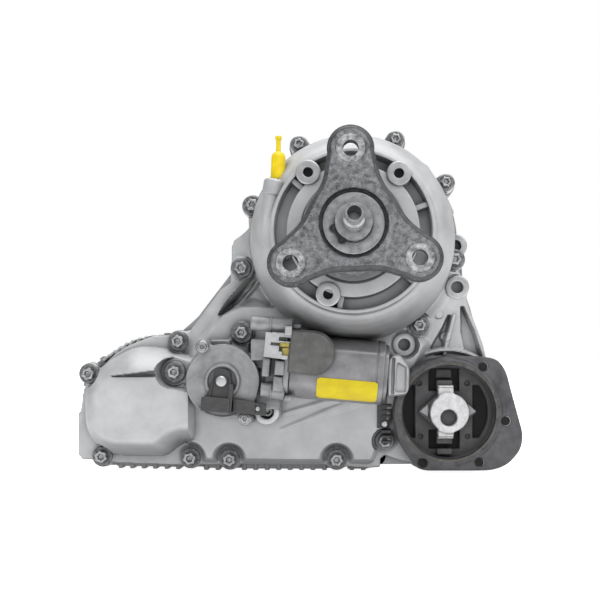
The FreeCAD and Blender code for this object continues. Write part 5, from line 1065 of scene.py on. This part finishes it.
# The rubber's voids, less than 0 inside: two crescents beside the core, and two pockets above and
# below it, which the bumpers part in two slots each.
def rubberVoids(x, z):
    dx, dz = fromMount(x, z)
    sides = np.minimum(dx + 24.2, 18.6 - dx)
    field = np.maximum(np.maximum(circle(dx, dz, (-1.6, 0), 31.5), sides), np.abs(dz) - 19.5)
    above = np.maximum(np.abs(dx + 2.7) - 11.2, np.maximum(15.4 - dz, dz - 32))
    below = np.maximum(np.abs(dx + 2.5) - 11.2, np.maximum(dz + 13.5, -27.5 - dz))
    return blendMin(field, np.minimum(above, below), 1.5)


def rubberField(x, z):
    return np.maximum(circle(x, z, mountMiddle, mount["inside"] - 0.1), -rubberVoids(x, z))


def rubberFace(x, z):
    dx, dz = fromMount(x, z)
    height = mount["web"] + mount["ringTall"] * ease((np.hypot(dx, dz) - mount["rubberRing"]) / 2.0)
    for at in mount["dimples"]:
        height = height - mound(circle(dx, dz, at, 1.4), 1.5, 0.8)
    return height


# Bumpers between the slots: one above the core and one below it, a heel low on the ring's wall, a
# low step at the top, and the diamond behind the core.
bumpers = []
for low, high, end in ((17, 23.4, 101.6), (-23.6, -17, 101.6), (-31.5, -27, 102.5), (24.5, 31.5, 95.8)):
    bumpers.append(prism(rectangle(-8.4, 3.2, low, high, 1), 93.4, end, 0.9, over(mountMiddle)))
diamond = rounded([(-23, 0.5), (-7, 13.6), (3.6, 13.6), (21.6, 0), (3.6, -14), (-7, -14)], 2.4, closed=True)
bumpers.append(prism(diamond, 93.6, 103.6, 2.0, over(mountMiddle)))
makePiece("mount_rubber_form", rubber,
          [plate((34, -164), (107, -90), 0.45, rubberField, rubberFace, 93.2, 0.8)] + bumpers,
          ["mount_rubber"])
# Painted shade: a near-black disc behind the rubber's voids, so that they read as dark hollows.
makePiece("mount_void_shade", boreShade,
          [spun([(0, 93), (34.6, 93), (34.6, 94.4), (0, 94.4)], 0, mountMiddle, 72)], ["mount_rubber"])
core = {"middle": (0.6, -0.4), "radius": 14.3, "face": 107.5, "back": 92.5, "tabMiddle": -1.9, "tabWide": 5.7,
        "tabTall": 19.6, "tabSlope": 17.4, "hole": (70.2, -131), "holeRadius": 6}


def coreField(x, z):
    dx, dz = fromMount(x, z)
    field = circle(dx, dz, core["middle"], core["radius"])
    bothTabs = np.maximum(np.abs(dx - core["tabMiddle"]) - core["tabWide"], np.abs(dz) - core["tabTall"])
    return np.maximum(blendMin(field, bothTabs, 1.2), -circle(x, z, core["hole"], core["holeRadius"]))


def coreFace(x, z):
    dx, dz = fromMount(x, z)
    height = core["face"] - 2.2 * ease(circle(dx, dz, core["middle"], core["radius"]) / 2)
    return height - 1.6 * ease((np.abs(dz) - core["tabSlope"]) / 1.2)


makePiece("mount_core_form", coreSkin,
          [plate((44, -150), (96, -104), 0.45, coreField, coreFace, core["back"], 0.9, backSoft=0.8)],
          ["mount_core"])
# Flat facets of the core's wings, seen as lit slivers at both tips.
wings = []
for side in (-1, 1):
    tip = plane((mountMiddle[0] - 0.4, 0, mountMiddle[1] + 0.5), (side, 0, 0))
    facet = rounded([(20.8, 0), (14.6, 5.6), (13.8, 1), (14.6, -4)], 0.7, closed=True)
    wings.append(prism(facet, 99, 104.2, 0.5, tip))
makePiece("mount_wing_facets", canSteel, wings, ["mount_core"])
print("mount made")

# Cradle round the motor's far end: the arm of the cover that bends over it
cradle = {"start": 90, "end": 128, "panel": [(32.2, -92), (36.4, -94.5), (36.2, -110), (31, -110)],
          "groove": ((28.6, -88), (28, -113))}
cradleOutline = rounded([(24.6, -87.5), (27.4, -84.6), (33.2, -84.2), (38.6, -91.5), (40.4, -95.5),
                         (39.6, -110.2), (37.6, -113.6), (23.6, -115), (23.6, -100)], 2.6,
                        closed=True).tolist()


def cradleField(x, z):
    return polygon(x, z, cradleOutline)


def cradleFace(x, z):
    rolled = 3.5 * ease((cradleField(x, z) + 1.8) / 1.8) ** 2
    panel = mound(polygon(x, z, cradle["panel"], 0.6), 2.4, 1.6, 0.8)
    return cradle["end"] - panel - rolled - mound(bar(x, z, *cradle["groove"], 0.5), 2.2, 0.9, 0.9)


makePiece("motor_cradle", castSkin,
          [plate((22, -118), (45, -80), 0.45, cradleField, cradleFace, cradle["start"], 1.6)], ["rear_case"])
# Rim ribs: short ribs on the front half's edge round the lobe, as (across, up, angle outwards).
rimRibs = [(-183.6, -86.2, 38), (-179.4, -83, 42), (-175.1, -80.1, 47), (-170.6, -77.4, 52),
           (-165.8, -75.2, 58), (-160.8, -73.5, 66), (-155.6, -72.2, 74), (-150.2, -71.4, 82),
           (-144.8, -71, 88), (-204.8, -133, 180), (-205.2, -138.5, 180), (-205.2, -144, 180),
           (-205, -152, 180)]
makePiece("case_rim_ribs", castSkin,
          [prism(rectangle(-6, 1.2, -1.2, 1.2, 0.4), 60, 86, 1.0, over((x, z), turn))
           for x, z, turn in rimRibs])
# Teeth under the case, on a low web from bolt to bolt.
tooth = {"pitch": 8.7, "half": 1.7, "reach": 10.2, "webReach": 8.6, "root": 4, "clear": 8,
         "end": (19.5, -163)}
teeth = []
feet = [bolts[name] for name in "BCEF"] + [tooth["end"]]
for start, end in zip(feet, feet[1:]):
    beside, far = towards(start, end)
    web = rectangle(tooth["clear"], far - tooth["clear"], -tooth["webReach"], -tooth["root"], 0.3)
    teeth.append(prism(web, 64, 81.2, 0.7, beside))
    count = int((far - 18) / tooth["pitch"]) + 1
    for number in range(count):
        at = far / 2 + (number - (count - 1) / 2) * tooth["pitch"]
        outline = rectangle(at - tooth["half"], at + tooth["half"], -tooth["reach"], -tooth["root"], 0.9)
        teeth.append(prism(outline, 60, 82, 0.7, beside))
makePiece("case_foot_webs", castFront, teeth)
makePiece("damper_bolt_end", milled,
          [spun([(0, 98), (2.4, 98), (2.4, 101.4), (1.6, 102), (0, 102)], [0, 0, 0.6, 0.5, 0],
                (23.6, -135.9), 32)])
makePiece("damper_folds", rubber,
          [prism(rectangle(21, 28.6, low, low + 2.2, 0.6), 92, 100.6, 0.8)
           for low in (-150.5, -146.6, -142.7, -131.4, -127.5, -123.6)])

# Front half: ribs across the bell's recess, and a fan of ribs on the flat front wall. The idler's
# place is read from its shaft's node.
idler = frame["nodes"]["idler_shaft"]
corners = np.array([list(idler.matrix_world @ Vector(corner)) for corner in idler.bound_box]) / millimetre
idlerAt = tuple((corners[:, (0, 2)].min(0) + corners[:, (0, 2)].max(0)) / 2)
front = {"ribs": 12, "firstRib": 15, "rib": (45.5, 62.5, -1.8, 1.8), "wall": 22.5, "ribEnd": 5,
         "fanEnd": 17.5, "fanHalf": 2.0, "snout": (-153.5, -119.5)}
fan = [(idlerAt, end) for end in (front["snout"], (-60, -160), (14, -150), (-30, -160))]
fan += [(front["snout"], bolts[name]) for name in "DCAB"] + [(idlerAt, (-118, -84))]
frontShells = [prism(rectangle(*front["rib"], 0.4), front["wall"], front["ribEnd"], 1.0,
                     over(shaftAxis, front["firstRib"] + number * 360 / front["ribs"]))
               for number in range(front["ribs"])]
for start, end in fan:
    beside, far = towards(start, end)
    outline = rectangle(0, far, -front["fanHalf"], front["fanHalf"], 0.8)
    frontShells.append(prism(outline, front["wall"], front["fanEnd"], 1.6, beside))
makePiece("front_wall_ribs", castFront, frontShells)
print("cradle, rim ribs and front ribs made")

# Floor, light and camera. The lens and its centre are in pixels of the photo's frame.
studio = {"floor": -172.5, "camera": (-5.6, -760.0, -81.5), "focal": 895.0, "centre": (345.0, 350.0),
          "frame": 600, "sensor": 36.0, "bounce": 0.4, "seen": 0.9, "half": 6.0}


def intoScene(thing):
    bpy.context.scene.collection.objects.link(thing)
    return thing


floorMaterial = bpy.data.materials.new("pale_studio_floor")
floorMaterial.use_nodes = True
tree = floorMaterial.node_tree
shader = tree.nodes["Principled BSDF"]
shader.inputs["Base Color"].default_value = linear("F4F4F4")
shader.inputs["Roughness"].default_value = 0.9
shader.inputs["Emission Color"].default_value = (1, 1, 1, 1)
seen = addNode(tree, "ShaderNodeLightPath")
gleam = addNode(tree, "ShaderNodeMix", {2: studio["bounce"], 3: studio["seen"]},
                {0: seen.outputs["Is Camera Ray"]})
tree.links.new(gleam.outputs[0], shader.inputs["Emission Strength"])
mesh = bpy.data.meshes.new("studio_floor")
half, level = studio["half"], studio["floor"] * millimetre
mesh.from_pydata([(-half, -half, level), (half, -half, level), (half, half, level), (-half, half, level)], [],
                 [(0, 1, 2, 3)])
floor = intoScene(bpy.data.objects.new("studio_floor", mesh))
floor.data.materials.append(floorMaterial)

# The sky is brightest from above, with a little light from the viewer and from the right. The
# camera itself sees it plain white.
world = bpy.data.worlds.new("studio_world")
bpy.context.scene.world = world
world.use_nodes = True
tree = world.node_tree
tree.nodes.clear()
direction = addNode(tree, "ShaderNodeTexCoord")
towardsSky = addNode(tree, "ShaderNodeSeparateXYZ", links={0: direction.outputs["Generated"]}).outputs
fromTop = ramp(tree, towardsSky[2], -0.15, 0.9, 0.03, 0.85)
fromViewer = ramp(tree, towardsSky[1], -0.45, -1.0, 0.0, 0.24)
fromRight = ramp(tree, towardsSky[0], -0.3, 0.9, 0.0, 0.1)
ahead = addNode(tree, "ShaderNodeMath", links={0: fromTop, 1: fromViewer}, operation="ADD")
glow = addNode(tree, "ShaderNodeMath", links={0: ahead.outputs[0], 1: fromRight}, operation="ADD")
seen = addNode(tree, "ShaderNodeLightPath")
strength = addNode(tree, "ShaderNodeMix", {3: 1.0}, {0: seen.outputs["Is Camera Ray"], 2: glow.outputs[0]})
sky = addNode(tree, "ShaderNodeBackground", {"Color": (1, 1, 1, 1)}, {"Strength": strength.outputs[0]})
addNode(tree, "ShaderNodeOutputWorld", links={"Surface": sky.outputs[0]})
# Each light as its name, place, size in metres, power in watts, and turns in degrees.
for name, place, size, power, turns in (
        ("key_softbox", (0.5, -0.8, 1.0), 1.2, 8.4, (46, 0, 30)),
        ("top_softbox", (-0.1, -0.1, 1.2), 0.9, 7, (5, 0, 0)),
        ("left_fill", (-0.9, -0.9, 0.2), 0.6, 0.3, (82, 0, -45))):
    light = bpy.data.lights.new(name, "AREA")
    light.size = size
    light.energy = power
    lamp = intoScene(bpy.data.objects.new(name, light))
    lamp.location = place
    lamp.rotation_euler = [math.radians(turn) for turn in turns]
lens = bpy.data.cameras.new("photo_camera")
lens.sensor_width = studio["sensor"]
lens.lens = studio["focal"] / studio["frame"] * studio["sensor"]
lens.shift_x = 0.5 - studio["centre"][0] / studio["frame"]
lens.shift_y = studio["centre"][1] / studio["frame"] - 0.5
lens.clip_end = 50
camera = intoScene(bpy.data.objects.new("photo_camera", lens))
camera.location = [length * millimetre for length in studio["camera"]]
camera.rotation_euler = (math.radians(90), 0, 0)
bpy.context.scene.camera = camera
bpy.context.scene.view_settings.view_transform = "Standard"
print("studio made")
